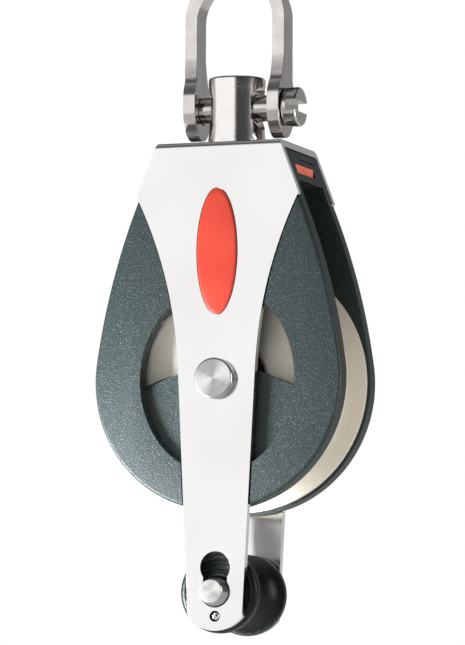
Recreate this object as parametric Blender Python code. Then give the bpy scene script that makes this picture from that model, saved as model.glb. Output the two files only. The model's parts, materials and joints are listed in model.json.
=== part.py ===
"""Single sheave block: swivel shackle head, one-piece strap, two cheeks, ball and roller
bearing sheave, and a becket spool on a draw-out pin.

Metres, +Z up.  The origin is the bearing point inside the shackle's crown, where the block
hangs.  The axle runs along Y and the shackle pin along X.
"""
import math

import bmesh
import bpy
from mathutils import Matrix, Vector

for old in list(bpy.data.objects):
    bpy.data.objects.remove(old, do_unlink=True)

MM = 0.001

# ---------------------------------------------------------------- driving dimensions (mm)
GAP = 0.3                    # between pieces that touch
SLIP = 0.5                   # sheave to cheek, each side

SHEAVE_R = 37.5
SHEAVE_HALF_W = 10.1
ROPE_R = 7.0                 # 14 mm rope
GROOVE_R = ROPE_R + 0.4
GROOVE_SUNK = 2.5            # groove's centre inside the sheave's edge
GROOVE_CENTRE_R = SHEAVE_R - GROOVE_SUNK
HUB_HALF_W = 7.9
GROOVE_FACETS = 8
WEB_HALF_W = 7.3
WEB_EDGE_HALF_W = 8.2
WEB_R = 19.0                 # radius at which the dished sides are deepest

AXLE_R = 5.0
AXLE_BOSS_R = 5.9
AXLE_FACE_R = 5.3
AXLE_PROUD = 2.9
AXLE_STUB_R = 3.0
AXLE_STUB_L = 1.3
RACE_WALL = 3.0
ROLLER_R = 1.6
ROLLER_HALF_L = 5.5
ROLLERS = 11
CAGE_HALF_W = 6.6
CAGE_WALL = 1.8
SIDE_BALL_R = 1.2
SIDE_BALLS = 9
SIDE_BALL_PITCH_R = 28.6
BALL_RING_T = 1.2
BALL_RING_WALL = 0.45

CHEEK_T = 5.1
CHEEK_OVER = 0.65            # cheek's round edge outside the sheave
CHEEK_R = SHEAVE_R + CHEEK_OVER
CHEEK_SIDE_R = 200.0
CHEEK_SIDE_FROM = 8.0        # degrees above level where the long side arc starts
CHEEK_TIP_Z = 52.6
CHEEK_ROUND = 0.8
WINDOW_A = 23.9
WINDOW_B = 27.5
PANEL_DEPTH = 2.9
PANEL_PEAK_Z = 7.1
PANEL_SLOPE = 22.0           # degrees
SPAR_INSET = 1.0
RECESS_GAP = 0.5             # round the strap's edge

STRAP_T = 2.2
STRAP_PROUD = 0.3            # strap's face in front of the cheek's
STRAP_TOP_Z = 69.5
STRAP_TOP_HALF = 19.0
SHOULDER_HALF = 25.2
SHOULDER_Z = 53.6
SHOULDER_ROUND = 1.2
WAIST_HALF = 11.95
WAIST_Z = 3.6
FOOT_HALF = 8.35
FOOT_Z = -69.1
FOOT_R = 10.9
BEND_R = 1.5

BECKET_Z = -61.7
BECKET_SPARE_Z = -54.65
BECKET_PIN_R = 4.3
BECKET_PIN_END_R = 3.5
BECKET_PIN_HEAD_R = 5.8
BECKET_PIN_PROUD = 3.7
BECKET_NECK_HALF = 3.7
BECKET_BALL_DROP = 7.1
BECKET_BALL_R = 1.3
SPOOL_R = 11.9
SPOOL_ROOT_R = 6.6
SPOOL_FLANGE = 3.4
SPOOL_ROUND = 1.6

BADGE_Z = 37.2
BADGE_A = 6.4
BADGE_B = 18.7
BADGE_POCKET = 1.0

HEAD_DEPTH = 9.4             # head block's height under the bridge
LAP_DEPTH = 2.4              # upper half of the lap joint between the cheeks
LAP_SHIFT_Y = 4.3            # the upper lap's seam lies this far from the middle
SLIDE_DROP = 4.5             # lock slide's top under the bridge
SLIDE_T = 2.4
SLIDE_HALF_W = 7.6
SLIDE_SHIFT_Y = -1.0
SLIDE_RECESS = 0.5
SLIDE_TRAVEL = 3.0
DETENT_R = 0.9
DETENT_X = 14.0
DETENT_SLIP = 0.05           # ball to slide, as the ball is drawn pressed back

STUD_R = 5.0
STUD_FLANGE_R = 7.7
STUD_FLANGE_T = 2.5
STUD_SQUARE_HALF = 4.75
STUD_CORNER_R = 6.2
STUD_DROP = 8.2              # stud's lower end under the bridge
WASHER_T = 0.8
LOCK_PIN_R = 1.2

POST_R = 8.4
POST_WAIST_R = 8.15
POST_H = 20.1
POST_POCKET_R = 6.3
POST_POCKET_X = 6.2
POST_HOLE_CLEAR = 0.3

PIN_R = 3.9
PIN_RISE = 11.3              # shackle pin's axis above the bridge
PIN_HEAD_R = 5.8
PIN_HEAD_T = 4.4
PIN_SLOT_HALF = 1.6
PIN_SLOT_DEPTH = 3.0

BOW_INNER_R = 11.8
BOW_T = 3.7
BOW_HALF_W = 3.75
BOW_EYE_HALF_W = 6.9
BOW_EYE_DROP = 9.0           # eye's lower end under the pin
BOW_EYE_GAP = 11.2           # half the space between the eyes, where the legs draw in
BOW_FLARE = 16.0             # height above the pin at which the legs begin to widen
BOW_RISE = 26.35             # arch centre above the pin
BOW_SHIFT_X = 0.5            # play along the pin, taken up to the left

# ---------------------------------------------------------------- places worked out (mm)
PIN_Z = -(BOW_INNER_R + BOW_RISE)
BRIDGE_TOP_Z = PIN_Z - PIN_RISE
AXLE_Z = BRIDGE_TOP_Z - STRAP_TOP_Z
BRIDGE_UNDER_Z = BRIDGE_TOP_Z - STRAP_T
HEAD_TOP_Z = BRIDGE_UNDER_Z - 0.4
HEAD_BOTTOM_Z = BRIDGE_UNDER_Z - HEAD_DEPTH
LAP_Z = HEAD_TOP_Z - LAP_DEPTH
SLIDE_TOP_Z = BRIDGE_UNDER_Z - SLIDE_DROP
SLIDE_MID_Z = SLIDE_TOP_Z - SLIDE_T / 2

CHEEK_IN = SHEAVE_HALF_W + SLIP
CHEEK_OUT = CHEEK_IN + CHEEK_T
STRAP_OUT = CHEEK_OUT + STRAP_PROUD
STRAP_IN = STRAP_OUT - STRAP_T
RECESS_Y = STRAP_IN - GAP
PANEL_Y = CHEEK_OUT - PANEL_DEPTH

RACE_IN = AXLE_R + GAP
RACE_OUT = RACE_IN + RACE_WALL
ROLLER_PITCH_R = RACE_OUT + GAP + ROLLER_R
BORE_R = ROLLER_PITCH_R + ROLLER_R + GAP
BALL_TRACK_Y = CHEEK_IN - 2 * (SIDE_BALL_R + GAP)
SIDE_BALL_Y = (BALL_TRACK_Y + CHEEK_IN) / 2

EYE_LEFT_X = BOW_SHIFT_X - BOW_EYE_GAP - BOW_T
EYE_RIGHT_X = BOW_SHIFT_X + BOW_EYE_GAP + BOW_T
BECKET_HOLE_R = BECKET_PIN_R + GAP

STEEL = ("polished_stainless", (0.62, 0.62, 0.63), 0.12, 1.0)
NYLON = ("glass_filled_nylon", (0.035, 0.043, 0.047), 0.55, 0.0)
ALUMINIUM = ("satin_aluminium", (0.66, 0.66, 0.64), 0.38, 1.0)
ACETAL = ("black_acetal", (0.008, 0.010, 0.010), 0.35, 0.0)
RED = ("red_moulding", (0.62, 0.035, 0.018), 0.42, 0.0)
TORLON = ("bearing_polymer", (0.16, 0.11, 0.05), 0.5, 0.0)
SPRING_STEEL = ("spring_steel", (0.40, 0.40, 0.42), 0.3, 1.0)


# ---------------------------------------------------------------- helpers
def finish_material(finish):
    """The Principled material of one of the finishes above, made once."""
    name, colour, roughness, metallic = finish
    made = bpy.data.materials.get(name)
    if made:
        return made
    made = bpy.data.materials.new(name)
    made.use_nodes = True
    shader = made.node_tree.nodes["Principled BSDF"]
    shader.inputs["Base Color"].default_value = (*colour, 1.0)
    shader.inputs["Roughness"].default_value = roughness
    shader.inputs["Metallic"].default_value = metallic
    made.diffuse_color = (*colour, 1.0)
    return made


def keep(name, bm, finish=None, smooth=True):
    """Turn a bmesh in millimetres into an object; no finish means a cutter or a guide."""
    bmesh.ops.remove_doubles(bm, verts=bm.verts[:], dist=1e-4)
    bmesh.ops.recalc_face_normals(bm, faces=bm.faces[:])
    bmesh.ops.scale(bm, vec=(MM, MM, MM), verts=bm.verts[:])
    mesh = bpy.data.meshes.new(name)
    bm.to_mesh(mesh)
    bm.free()
    piece = bpy.data.objects.new(name, mesh)
    bpy.context.scene.collection.objects.link(piece)
    if finish is None:
        piece.hide_render = True
        piece.display_type = "WIRE"
    else:
        mesh.materials.append(finish_material(finish))
        if smooth:
            mesh.shade_smooth()
            mesh.set_sharp_from_angle(angle=math.radians(30))
    return piece


def axis_matrix(axis, at):
    """Turns a shape made along +Z so that it lies along the given axis, placed at a point."""
    turn = Vector((0, 0, 1)).rotation_difference(Vector(axis)).to_matrix().to_4x4()
    return Matrix.Translation(at) @ turn


def turned_mesh(profile, axis, at, steps):
    """Solid of revolution from (radius, along) points, as a bmesh."""
    bm = bmesh.new()
    verts = [bm.verts.new((radius, 0, along)) for radius, along in profile]
    edges = [bm.edges.new(pair) for pair in zip(verts, verts[1:])]
    if profile[0][0] > 0 or profile[-1][0] > 0:
        edges.append(bm.edges.new((verts[-1], verts[0])))
    bmesh.ops.spin(bm, geom=verts + edges, cent=(0, 0, 0), axis=(0, 0, 1),
                   angle=2 * math.pi, steps=steps, use_merge=True)
    bmesh.ops.remove_doubles(bm, verts=bm.verts[:], dist=1e-4)
    bmesh.ops.transform(bm, matrix=axis_matrix(axis, at), verts=bm.verts[:])
    return bm


def turned(name, profile, axis, at, finish=None, steps=32):
    return keep(name, turned_mesh(profile, axis, at, steps), finish)


def rod(name, radius, start, end, finish=None, steps=24):
    """Plain round bar between two points."""
    start, end = Vector(start), Vector(end)
    length = (end - start).length
    profile = [(0, 0), (radius, 0), (radius, length), (0, length)]
    return turned(name, profile, (end - start).normalized(), start, finish, steps)


def extruded_mesh(outline, along, low, high):
    """Prism of a flat outline; along names the axis it is extruded on."""
    place = {
        "Y": lambda u, v, w: (u, w, v),
        "Z": lambda u, v, w: (u, v, w),
        "X": lambda u, v, w: (w, u, v),
    }[along]
    bm = bmesh.new()
    face = bm.faces.new([bm.verts.new(place(u, v, low)) for u, v in outline])
    grown = bmesh.ops.extrude_face_region(bm, geom=[face])["geom"]
    top = [part for part in grown if isinstance(part, bmesh.types.BMVert)]
    shift = Vector(place(0, 0, high)) - Vector(place(0, 0, low))
    bmesh.ops.translate(bm, vec=shift, verts=top)
    return bm


def extruded(name, outline, along, low, high, finish=None, smooth=True):
    return keep(name, extruded_mesh(outline, along, low, high), finish, smooth)


def block(name, x, y, z, finish=None):
    """Box between (low, high) pairs."""
    outline = [(x[0], z[0]), (x[1], z[0]), (x[1], z[1]), (x[0], z[1])]
    return extruded(name, outline, "Y", y[0], y[1], finish, smooth=False)


def boolean(piece, other, operation):
    step = piece.modifiers.new(other.name, "BOOLEAN")
    step.operation = operation
    step.object = other
    step.solver = "EXACT"


def cut(piece, *cutters):
    for cutter in cutters:
        boolean(piece, cutter, "DIFFERENCE")


def join(piece, *others):
    for other in others:
        boolean(piece, other, "UNION")


def bevel(piece, width, segments=2, angle=40):
    step = piece.modifiers.new("bevel", "BEVEL")
    step.width = width * MM
    step.segments = segments
    step.limit_method = "ANGLE"
    step.angle_limit = math.radians(angle)


def arc(centre, radius, start, end, count):
    """Points on an arc, angles in degrees."""
    points = []
    for i in range(count + 1):
        angle = math.radians(start + (end - start) * i / count)
        points.append((centre[0] + radius * math.cos(angle),
                       centre[1] + radius * math.sin(angle)))
    return points


def fillet(before, corner, after, radius, count=4):
    """Points that round a corner of an outline."""
    here = Vector(corner)
    to_before = (Vector(before) - here).normalized()
    to_after = (Vector(after) - here).normalized()
    half = to_before.angle(to_after) / 2
    reach = radius / math.tan(half)
    centre = here + (to_before + to_after).normalized() * radius / math.sin(half)
    first = here + to_before * reach - centre
    last = here + to_after * reach - centre
    points = []
    for i in range(count + 1):
        way = first.lerp(last, i / count).normalized() * radius
        points.append(tuple(centre + way))
    return points


def mirrored(right_side):
    """Closes an outline whose right side runs from bottom to top."""
    return right_side + [(-x, z) for x, z in reversed(right_side) if x > 0]


def ellipse(a, b, centre_z, count):
    points = arc((0, 0), 1.0, 0, 360 - 360 / count, count - 1)
    return [(a * x, centre_z + b * z) for x, z in points]


def strap_outline(grow=0.0):
    """Strap seen along Y: round foot, straight taper, concave shoulder, square head."""
    foot_angle = math.degrees(math.asin(FOOT_HALF / FOOT_R))
    foot_centre = (0, FOOT_Z + FOOT_R * math.cos(math.radians(foot_angle)))
    side = arc(foot_centre, FOOT_R, -90, -90 + foot_angle, 6)
    lean = math.atan2(WAIST_HALF - FOOT_HALF, WAIST_Z - FOOT_Z)
    chord = math.atan2(SHOULDER_HALF - WAIST_HALF, SHOULDER_Z - WAIST_Z)
    steep = 2 * chord - lean
    radius = (SHOULDER_Z - WAIST_Z) / (math.sin(steep) - math.sin(lean))
    flare = []
    for i in range(11):
        angle = lean + (steep - lean) * i / 10
        x = WAIST_HALF + radius * (math.cos(lean) - math.cos(angle))
        flare.append((x, WAIST_Z + radius * (math.sin(angle) - math.sin(lean))))
    top = (STRAP_TOP_HALF, STRAP_TOP_Z)
    side += flare[:-1] + fillet(flare[-2], flare[-1], top, SHOULDER_ROUND) + [top]
    centre_z = (STRAP_TOP_Z + FOOT_Z) / 2
    return mirrored([(x + grow if x > 0 else x, AXLE_Z + z + math.copysign(grow, z - centre_z))
                     for x, z in side])


def cheek_outline():
    """Cheek seen along Y: round below, long side arcs, then the head block's sloping sides."""
    side = arc((0, 0), CHEEK_R, -90, CHEEK_SIDE_FROM, 20)
    turn = math.radians(CHEEK_SIDE_FROM)
    reach = CHEEK_R - CHEEK_SIDE_R
    centre = (reach * math.cos(turn), reach * math.sin(turn))
    last = math.degrees(math.asin((CHEEK_TIP_Z - centre[1]) / CHEEK_SIDE_R))
    side += arc(centre, CHEEK_SIDE_R, CHEEK_SIDE_FROM, last, 8)[1:]
    top = HEAD_TOP_Z - AXLE_Z
    side.append((head_half(top), top))
    return mirrored([(x, AXLE_Z + z) for x, z in side])


def head_half(z):
    """Half width of the strap's head at a height above the axle, less the cheek's set-back."""
    share = (z - SHOULDER_Z) / (STRAP_TOP_Z - SHOULDER_Z)
    return SHOULDER_HALF + (STRAP_TOP_HALF - SHOULDER_HALF) * share - 0.1


# ---------------------------------------------------------------- shackle
def shackle_bow():
    """A flat bar bent to a U, cut to its side view: narrow legs that widen into oval eyes."""
    bow = extruded("shackle_bow", bow_outline(), "Y", -BOW_EYE_HALF_W - 1, BOW_EYE_HALF_W + 1,
                   STEEL)
    side = extruded("bow_side", bow_side_outline(), "X", -60, 60)
    boolean(bow, side, "INTERSECT")
    bevel(bow, 0.5, 2)
    cut(bow, rod("bow_pin_hole", PIN_R + GAP, (-30, 0, PIN_Z), (30, 0, PIN_Z), steps=28))


def bow_outline():
    """Bow seen along Y: eyes a little closer together than the legs, and a round crown."""
    crown = (BOW_SHIFT_X, -BOW_INNER_R)
    foot = PIN_Z - BOW_EYE_DROP - 1
    points = []
    for reach, out in ((BOW_T, 1), (0, -1)):
        half = arc(crown, BOW_INNER_R + reach, 0, 180, 20)
        knee = PIN_Z + BOW_FLARE
        right = [(BOW_SHIFT_X + BOW_EYE_GAP + reach, z) for z in (foot, PIN_Z + 4)]
        right.append((BOW_SHIFT_X + BOW_INNER_R + reach, knee))
        left = [(2 * BOW_SHIFT_X - x, z) for x, z in reversed(right)]
        points += (right + half + left)[::out]
    return points


def bow_side_outline():
    """Bow seen along X: half an oval under the pin, then a flare up to the narrow leg."""
    right = [(BOW_EYE_HALF_W * math.cos(a), PIN_Z + BOW_EYE_DROP * math.sin(a))
             for a in [math.radians(-90 + 90 * i / 7) for i in range(8)]]
    for width, rise in ((1.0, 0.20), (0.9, 0.31), (0.62, 0.43), (0.36, 0.52), (0.22, 0.66),
                        (0.09, 0.84), (0.0, 1.0)):
        right.append((BOW_HALF_W + (BOW_EYE_HALF_W - BOW_HALF_W) * width,
                      PIN_Z + BOW_FLARE * rise))
    right.append((BOW_HALF_W, 10))
    return right + [(-y, z) for y, z in reversed(right) if y > 1e-6]


def shackle_pin():
    head_from = EYE_RIGHT_X + GAP
    head_to = head_from + PIN_HEAD_T
    chamfer = 0.7
    profile = [(0, EYE_LEFT_X + 0.1), (PIN_R - 0.4, EYE_LEFT_X + 0.1),
               (PIN_R, EYE_LEFT_X + 0.5), (PIN_R, head_from), (PIN_HEAD_R - 0.3, head_from),
               (PIN_HEAD_R, head_from + 0.3), (PIN_HEAD_R, head_to - chamfer),
               (PIN_HEAD_R - chamfer, head_to), (0, head_to)]
    pin = turned("shackle_pin", profile, (1, 0, 0), (0, 0, PIN_Z), STEEL, 28)
    slot_z = (PIN_Z - PIN_SLOT_HALF, PIN_Z + PIN_SLOT_HALF)
    slot_x = (head_to - PIN_SLOT_DEPTH, head_to + 1)
    cut(pin, block("pin_slot", slot_x, (-PIN_HEAD_R - 1, PIN_HEAD_R + 1), slot_z))


# ---------------------------------------------------------------- swivel
def swivel_post():
    low = BRIDGE_TOP_Z + GAP
    high = low + POST_H
    profile = [(0, low), (POST_R - 0.3, low), (POST_R, low + 0.3), (POST_R, low + 1.6),
               (POST_WAIST_R, low + 4.0), (POST_WAIST_R, high - 5.0), (POST_R, high - 2.2),
               (POST_R, high - 1.2), (POST_R - 0.4, high - 0.4), (POST_R - 1.2, high),
               (0, high)]
    post = turned("swivel_post", profile, (0, 0, 1), (0, 0, 0), STEEL, 40)
    reach = POST_R + 1
    cut(post, rod("post_pin_hole", PIN_R + POST_HOLE_CLEAR, (-reach, 0, PIN_Z), (reach, 0, PIN_Z)))
    for side, name in ((1, "right"), (-1, "left")):
        cut(post, rod("post_pocket_" + name, POST_POCKET_R,
                      (side * POST_POCKET_X, 0, PIN_Z), (side * reach, 0, PIN_Z), steps=28))
    cut(post, rod("post_stud_bore", STUD_R + GAP, (0, 0, low - 1), (0, 0, stud_top() + GAP)))
    cut(post, rod("post_lock_hole", LOCK_PIN_R + GAP, (-reach, 0, lock_pin_z()),
                  (reach, 0, lock_pin_z()), steps=12))


def stud_top():
    """Upper end of the swivel stud, a thin wall under the shackle pin's hole."""
    return PIN_Z - PIN_R - POST_HOLE_CLEAR - GAP - 1.0


def lock_pin_z():
    return (BRIDGE_TOP_Z + stud_top()) / 2 + 0.5


def flange_top():
    return BRIDGE_UNDER_Z - GAP - WASHER_T - GAP


def swivel_stud():
    flange_low = flange_top() - STUD_FLANGE_T
    bottom = BRIDGE_UNDER_Z - STUD_DROP
    profile = [(0, bottom), (STUD_CORNER_R - 0.4, bottom), (STUD_CORNER_R, bottom + 0.4),
               (STUD_CORNER_R, flange_low), (STUD_FLANGE_R, flange_low),
               (STUD_FLANGE_R, flange_top()), (STUD_R, flange_top()),
               (STUD_R, stud_top() - 0.5), (STUD_R - 0.5, stud_top()), (0, stud_top())]
    stud = turned("swivel_stud", profile, (0, 0, 1), (0, 0, 0), STEEL, 28)
    far = STUD_FLANGE_R + 2
    for i in range(4):
        angle = math.pi / 2 * i
        flat = extruded_mesh([(STUD_SQUARE_HALF, -far), (far, -far), (far, far),
                              (STUD_SQUARE_HALF, far)], "Z", bottom - 1, flange_low)
        bmesh.ops.rotate(flat, cent=(0, 0, 0), matrix=Matrix.Rotation(angle, 3, "Z"),
                         verts=flat.verts[:])
        cut(stud, keep(f"stud_flat_{i}", flat))
    reach = STUD_R + 1
    cut(stud, rod("stud_lock_hole", LOCK_PIN_R + GAP, (-reach, 0, lock_pin_z()),
                  (reach, 0, lock_pin_z()), steps=12))


def swivel_small_parts():
    high = BRIDGE_UNDER_Z - GAP
    washer = [(STUD_R + GAP, high - WASHER_T), (STUD_FLANGE_R, high - WASHER_T),
              (STUD_FLANGE_R, high), (STUD_R + GAP, high)]
    turned("swivel_washer", washer, (0, 0, 1), (0, 0, 0), TORLON, 32)
    reach = POST_WAIST_R - 0.4
    rod("stud_lock_pin", LOCK_PIN_R, (-reach, 0, lock_pin_z()), (reach, 0, lock_pin_z()),
        SPRING_STEEL, 12)


# ---------------------------------------------------------------- strap
def strap():
    outer = extruded("strap", strap_outline(), "Y", -STRAP_OUT, STRAP_OUT, STEEL)
    for side, name in ((-1, "front"), (1, "rear")):
        centre = (side * (STRAP_OUT - BEND_R), BRIDGE_TOP_Z - BEND_R)
        clear = (side * (STRAP_OUT + 1), BRIDGE_TOP_Z + 1)
        bend = arc(centre, BEND_R, 90, 90 - side * 90, 5)
        shave = bend + [(clear[0], bend[-1][1]), clear, (bend[0][0], clear[1])]
        cut(outer, extruded("bend_" + name, shave, "X", -40, 40))
    hollow = extruded("strap_hollow", [(-60, FOOT_Z + AXLE_Z - 20), (60, FOOT_Z + AXLE_Z - 20),
                                       (60, BRIDGE_UNDER_Z), (-60, BRIDGE_UNDER_Z)],
                      "Y", -STRAP_IN, STRAP_IN)
    bevel(hollow, 0.8, 2)
    cut(outer, hollow)
    cut(outer, rod("bridge_hole", STUD_R + GAP, (0, 0, BRIDGE_UNDER_Z - 1),
                   (0, 0, BRIDGE_TOP_Z + 1)))
    far = STRAP_OUT + 2
    cut(outer, rod("strap_axle_hole", AXLE_R + GAP, (0, -far, AXLE_Z), (0, far, AXLE_Z)))
    keyhole = keyhole_outline()
    cut(outer, extruded("keyhole", keyhole, "Y", -far, far))
    ball_z = AXLE_Z + BECKET_Z - BECKET_BALL_DROP
    cut(outer, rod("becket_ball_hole", BECKET_BALL_R + GAP, (0, -far, ball_z),
                   (0, far, ball_z), steps=16))
    oval = ellipse(BADGE_A, BADGE_B, AXLE_Z + BADGE_Z, 32)
    floor = STRAP_OUT - BADGE_POCKET
    cut(outer, extruded("badge_pocket_front", oval, "Y", -far, -floor))
    cut(outer, extruded("badge_pocket_rear", oval, "Y", floor, far))


def keyhole_outline():
    """Two round seats joined by a neck, so the becket pin can sit in either."""
    radius = BECKET_HOLE_R
    drop = math.degrees(math.asin(BECKET_NECK_HALF / radius))
    lower = arc((0, AXLE_Z + BECKET_Z), radius, 90 - drop, -270 + drop, 18)
    upper = arc((0, AXLE_Z + BECKET_SPARE_Z), radius, -90 - drop, -450 + drop, 18)
    return lower + upper


def badges():
    low = STRAP_OUT - BADGE_POCKET + GAP
    levels = [(1.0, low), (1.0, STRAP_OUT + 0.1), (0.93, STRAP_OUT + 0.3),
              (0.75, STRAP_OUT + 0.42), (0.4, STRAP_OUT + 0.5)]
    count = 28
    for side, name in ((-1, "front_badge"), (1, "rear_badge")):
        bm = bmesh.new()
        rings = []
        for share, y in levels:
            oval = ellipse((BADGE_A - GAP) * share, (BADGE_B - GAP) * share,
                           AXLE_Z + BADGE_Z, count)
            rings.append([bm.verts.new((x, side * y, z)) for x, z in oval])
        for first, second in zip(rings, rings[1:]):
            for i in range(count):
                j = (i + 1) % count
                bm.faces.new((first[i], first[j], second[j], second[i]))
        bm.faces.new(rings[0])
        bm.faces.new(rings[-1])
        keep(name, bm, RED)


# ---------------------------------------------------------------- cheeks
def shared_cutters():
    """Cutters that both cheeks use where they lie, so the slide and stud fit either."""
    stud_room = rod("stud_room", STUD_FLANGE_R + 0.6, (0, 0, HEAD_BOTTOM_Z - 1),
                    (0, 0, HEAD_TOP_Z + 1), steps=28)
    middle = SLIDE_SHIFT_Y
    width = (middle - SLIDE_HALF_W - GAP, middle + SLIDE_HALF_W + GAP)
    height = (SLIDE_TOP_Z - SLIDE_T - GAP, SLIDE_TOP_Z + GAP)
    slide_room = block("slide_room", (slide_inner_x() - SLIDE_TRAVEL - GAP, 30), width, height)
    return stud_room, slide_room


def cheek(name, half_turn, shared):
    """The front cheek, or the same moulding turned half round the Z axis."""
    spin = Matrix.Rotation(math.pi if half_turn else 0.0, 4, "Z")

    def placed(piece):
        piece.data.transform(spin)
        return piece

    mid_y = -(CHEEK_OUT + CHEEK_IN) / 2
    rough_top = HEAD_TOP_Z + 3
    body = placed(block(name, (-50, 50), (-CHEEK_OUT, -CHEEK_IN),
                        (AXLE_Z - CHEEK_R - 5, rough_top), NYLON))
    lap_z = (LAP_Z + GAP, rough_top - 1)
    short_lap = placed(block(name + "_short_lap", (-GAP, 45),
                             (mid_y, -LAP_SHIFT_Y - GAP / 2), lap_z))
    long_lap = placed(block(name + "_long_lap", (-44, -GAP / 2),
                            (mid_y + 0.1, LAP_SHIFT_Y - GAP / 2), lap_z))
    tongue = placed(block(name + "_tongue", (GAP / 2, 44), (mid_y + 0.4, CHEEK_IN - GAP),
                          (HEAD_BOTTOM_Z, LAP_Z)))
    tie = placed(block(name + "_tie", (GAP, 43), (mid_y + 0.8, -LAP_SHIFT_Y - GAP),
                       (HEAD_BOTTOM_Z + 1, LAP_Z + 1)))
    join(body, short_lap, long_lap, tongue, tie)
    trim = extruded(name + "_trim", cheek_outline(), "Y", -CHEEK_OUT, CHEEK_OUT + 2)
    soften(trim, -CHEEK_OUT, CHEEK_ROUND)
    boolean(body, placed(trim), "INTERSECT")

    far = -CHEEK_OUT - 5
    recess = extruded(name + "_strap_recess", strap_outline(RECESS_GAP), "Y", far, -RECESS_Y)
    oval = ellipse(WINDOW_A, WINDOW_B, AXLE_Z, 48)
    opening = extruded(name + "_window", oval, "Y", far, 0)
    spar = extruded(name + "_spar", strap_outline(-SPAR_INSET), "Y", far - 1, 1)
    drop = math.tan(math.radians(PANEL_SLOPE))
    wide = 60
    peak = AXLE_Z + PANEL_PEAK_Z
    below = [(-wide, AXLE_Z - wide), (wide, AXLE_Z - wide), (wide, peak - wide * drop),
             (0, peak), (-wide, peak - wide * drop)]
    panel = extruded(name + "_panel", below, "Y", far - 2, 2)
    cut(opening, spar, panel)
    sunk = extruded(name + "_panel_recess", oval, "Y", far, -PANEL_Y)
    boolean(sunk, panel, "INTERSECT")
    bore = rod(name + "_axle_bore", AXLE_R + GAP, (0, far, AXLE_Z), (0, 0, AXLE_Z))
    for part in (recess, opening, spar, panel, sunk, bore):
        placed(part)
    cut(body, recess, opening, sunk, bore, *shared)
    return body


def soften(prism, y, width):
    """Rounds the rim of a prism at one of its flat ends."""
    bm = bmesh.new()
    bm.from_mesh(prism.data)
    rim = [edge for edge in bm.edges
           if all(abs(vert.co.y - y * MM) < 1e-6 for vert in edge.verts)]
    bmesh.ops.bevel(bm, geom=rim, offset=width * MM, segments=2, profile=0.5, affect="EDGES")
    bm.to_mesh(prism.data)
    bm.free()


# ---------------------------------------------------------------- lock slide
def slide_inner_x():
    return -(STUD_CORNER_R + GAP + 2.0)


def slide_outer_x():
    return head_half(SLIDE_MID_Z - AXLE_Z) - SLIDE_RECESS


def swivel_lock_slide():
    """Plate with a keyhole: round where the stud turns, narrow where its flats are held."""
    middle = SLIDE_SHIFT_Y
    low, high = SLIDE_TOP_Z - SLIDE_T, SLIDE_TOP_Z
    slide = block("swivel_lock_slide", (slide_inner_x(), slide_outer_x()),
                  (middle - SLIDE_HALF_W, middle + SLIDE_HALF_W), (low, high), RED)
    bevel(slide, 0.35, 2)
    slot_end = STUD_SQUARE_HALF + GAP + SLIDE_TRAVEL
    half = STUD_SQUARE_HALF + 0.2
    cut(slide, rod("slide_round", STUD_CORNER_R + GAP, (0, 0, low - 1), (0, 0, high + 1)))
    cut(slide, block("slide_narrow", (0, slot_end), (-half, half), (low - 1, high + 1)))
    nail = slide_outer_x() + 1.2
    cut(slide, rod("nail_notch", 2.2, (nail, middle, low - 1), (nail, middle, low + 1.1),
                   steps=16))
    for i, name in enumerate(("open", "locked")):
        x = DETENT_X + SLIDE_TRAVEL * i
        cut(slide, rod("detent_notch_" + name, DETENT_R + GAP, (x, detent_y(), low - 1),
                       (x, detent_y(), high + 1), steps=12))


def detent_y():
    return SLIDE_SHIFT_Y - SLIDE_HALF_W - DETENT_SLIP - DETENT_R


def lock_detent():
    """Small ball and spring in the front cheek that hold the slide at either end."""
    ball("lock_detent_ball", DETENT_R, (DETENT_X, detent_y(), SLIDE_MID_Z), SPRING_STEEL)
    turns, sides, wire = 3, 4, 0.17
    start = detent_y() - DETENT_R - 0.25
    length = RECESS_Y - GAP * 2 + start
    bm = bmesh.new()
    rings = []
    for i in range(turns * 8 + 1):
        angle = 2 * math.pi * i / 8
        radial = Vector((math.cos(angle), 0, math.sin(angle)))
        centre = Vector((DETENT_X, start - length * i / (turns * 8), SLIDE_MID_Z)) + radial * 0.6
        rings.append([bm.verts.new(centre + radial * wire * math.cos(2 * math.pi * k / sides)
                                   + Vector((0, wire * math.sin(2 * math.pi * k / sides), 0)))
                      for k in range(sides)])
    for first, second in zip(rings, rings[1:]):
        for i in range(sides):
            j = (i + 1) % sides
            bm.faces.new((first[i], first[j], second[j], second[i]))
    bm.faces.new(rings[0])
    bm.faces.new(rings[-1])
    keep("lock_detent_spring", bm, SPRING_STEEL)


def detent_room():
    return rod("detent_room", DETENT_R + GAP, (DETENT_X, detent_y() + 1, SLIDE_MID_Z),
               (DETENT_X, -RECESS_Y + GAP, SLIDE_MID_Z), steps=14)


# ---------------------------------------------------------------- axle and bearing
def axle():
    base = STRAP_OUT + GAP
    tip = base + AXLE_PROUD - GAP
    chamfer = AXLE_BOSS_R - AXLE_FACE_R
    boss = [(AXLE_R, -base), (AXLE_BOSS_R, -base), (AXLE_BOSS_R, -tip + chamfer),
            (AXLE_FACE_R, -tip), (0, -tip)]
    stub_end = base + AXLE_STUB_L
    stub = [(0, stub_end), (AXLE_STUB_R, stub_end), (AXLE_STUB_R, STRAP_OUT - 0.5),
            (AXLE_R, STRAP_OUT - 0.5)]
    turned("axle", stub + boss, (0, 1, 0), (0, 0, AXLE_Z), STEEL, 28)
    bore = AXLE_STUB_R + GAP
    cap = [(0, stub_end + GAP), (bore, stub_end + GAP), (bore, base), (AXLE_BOSS_R, base),
           (AXLE_BOSS_R, tip - chamfer), (AXLE_FACE_R, tip), (0, tip)]
    turned("axle_cap", cap, (0, 1, 0), (0, 0, AXLE_Z), STEEL, 28)


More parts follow.
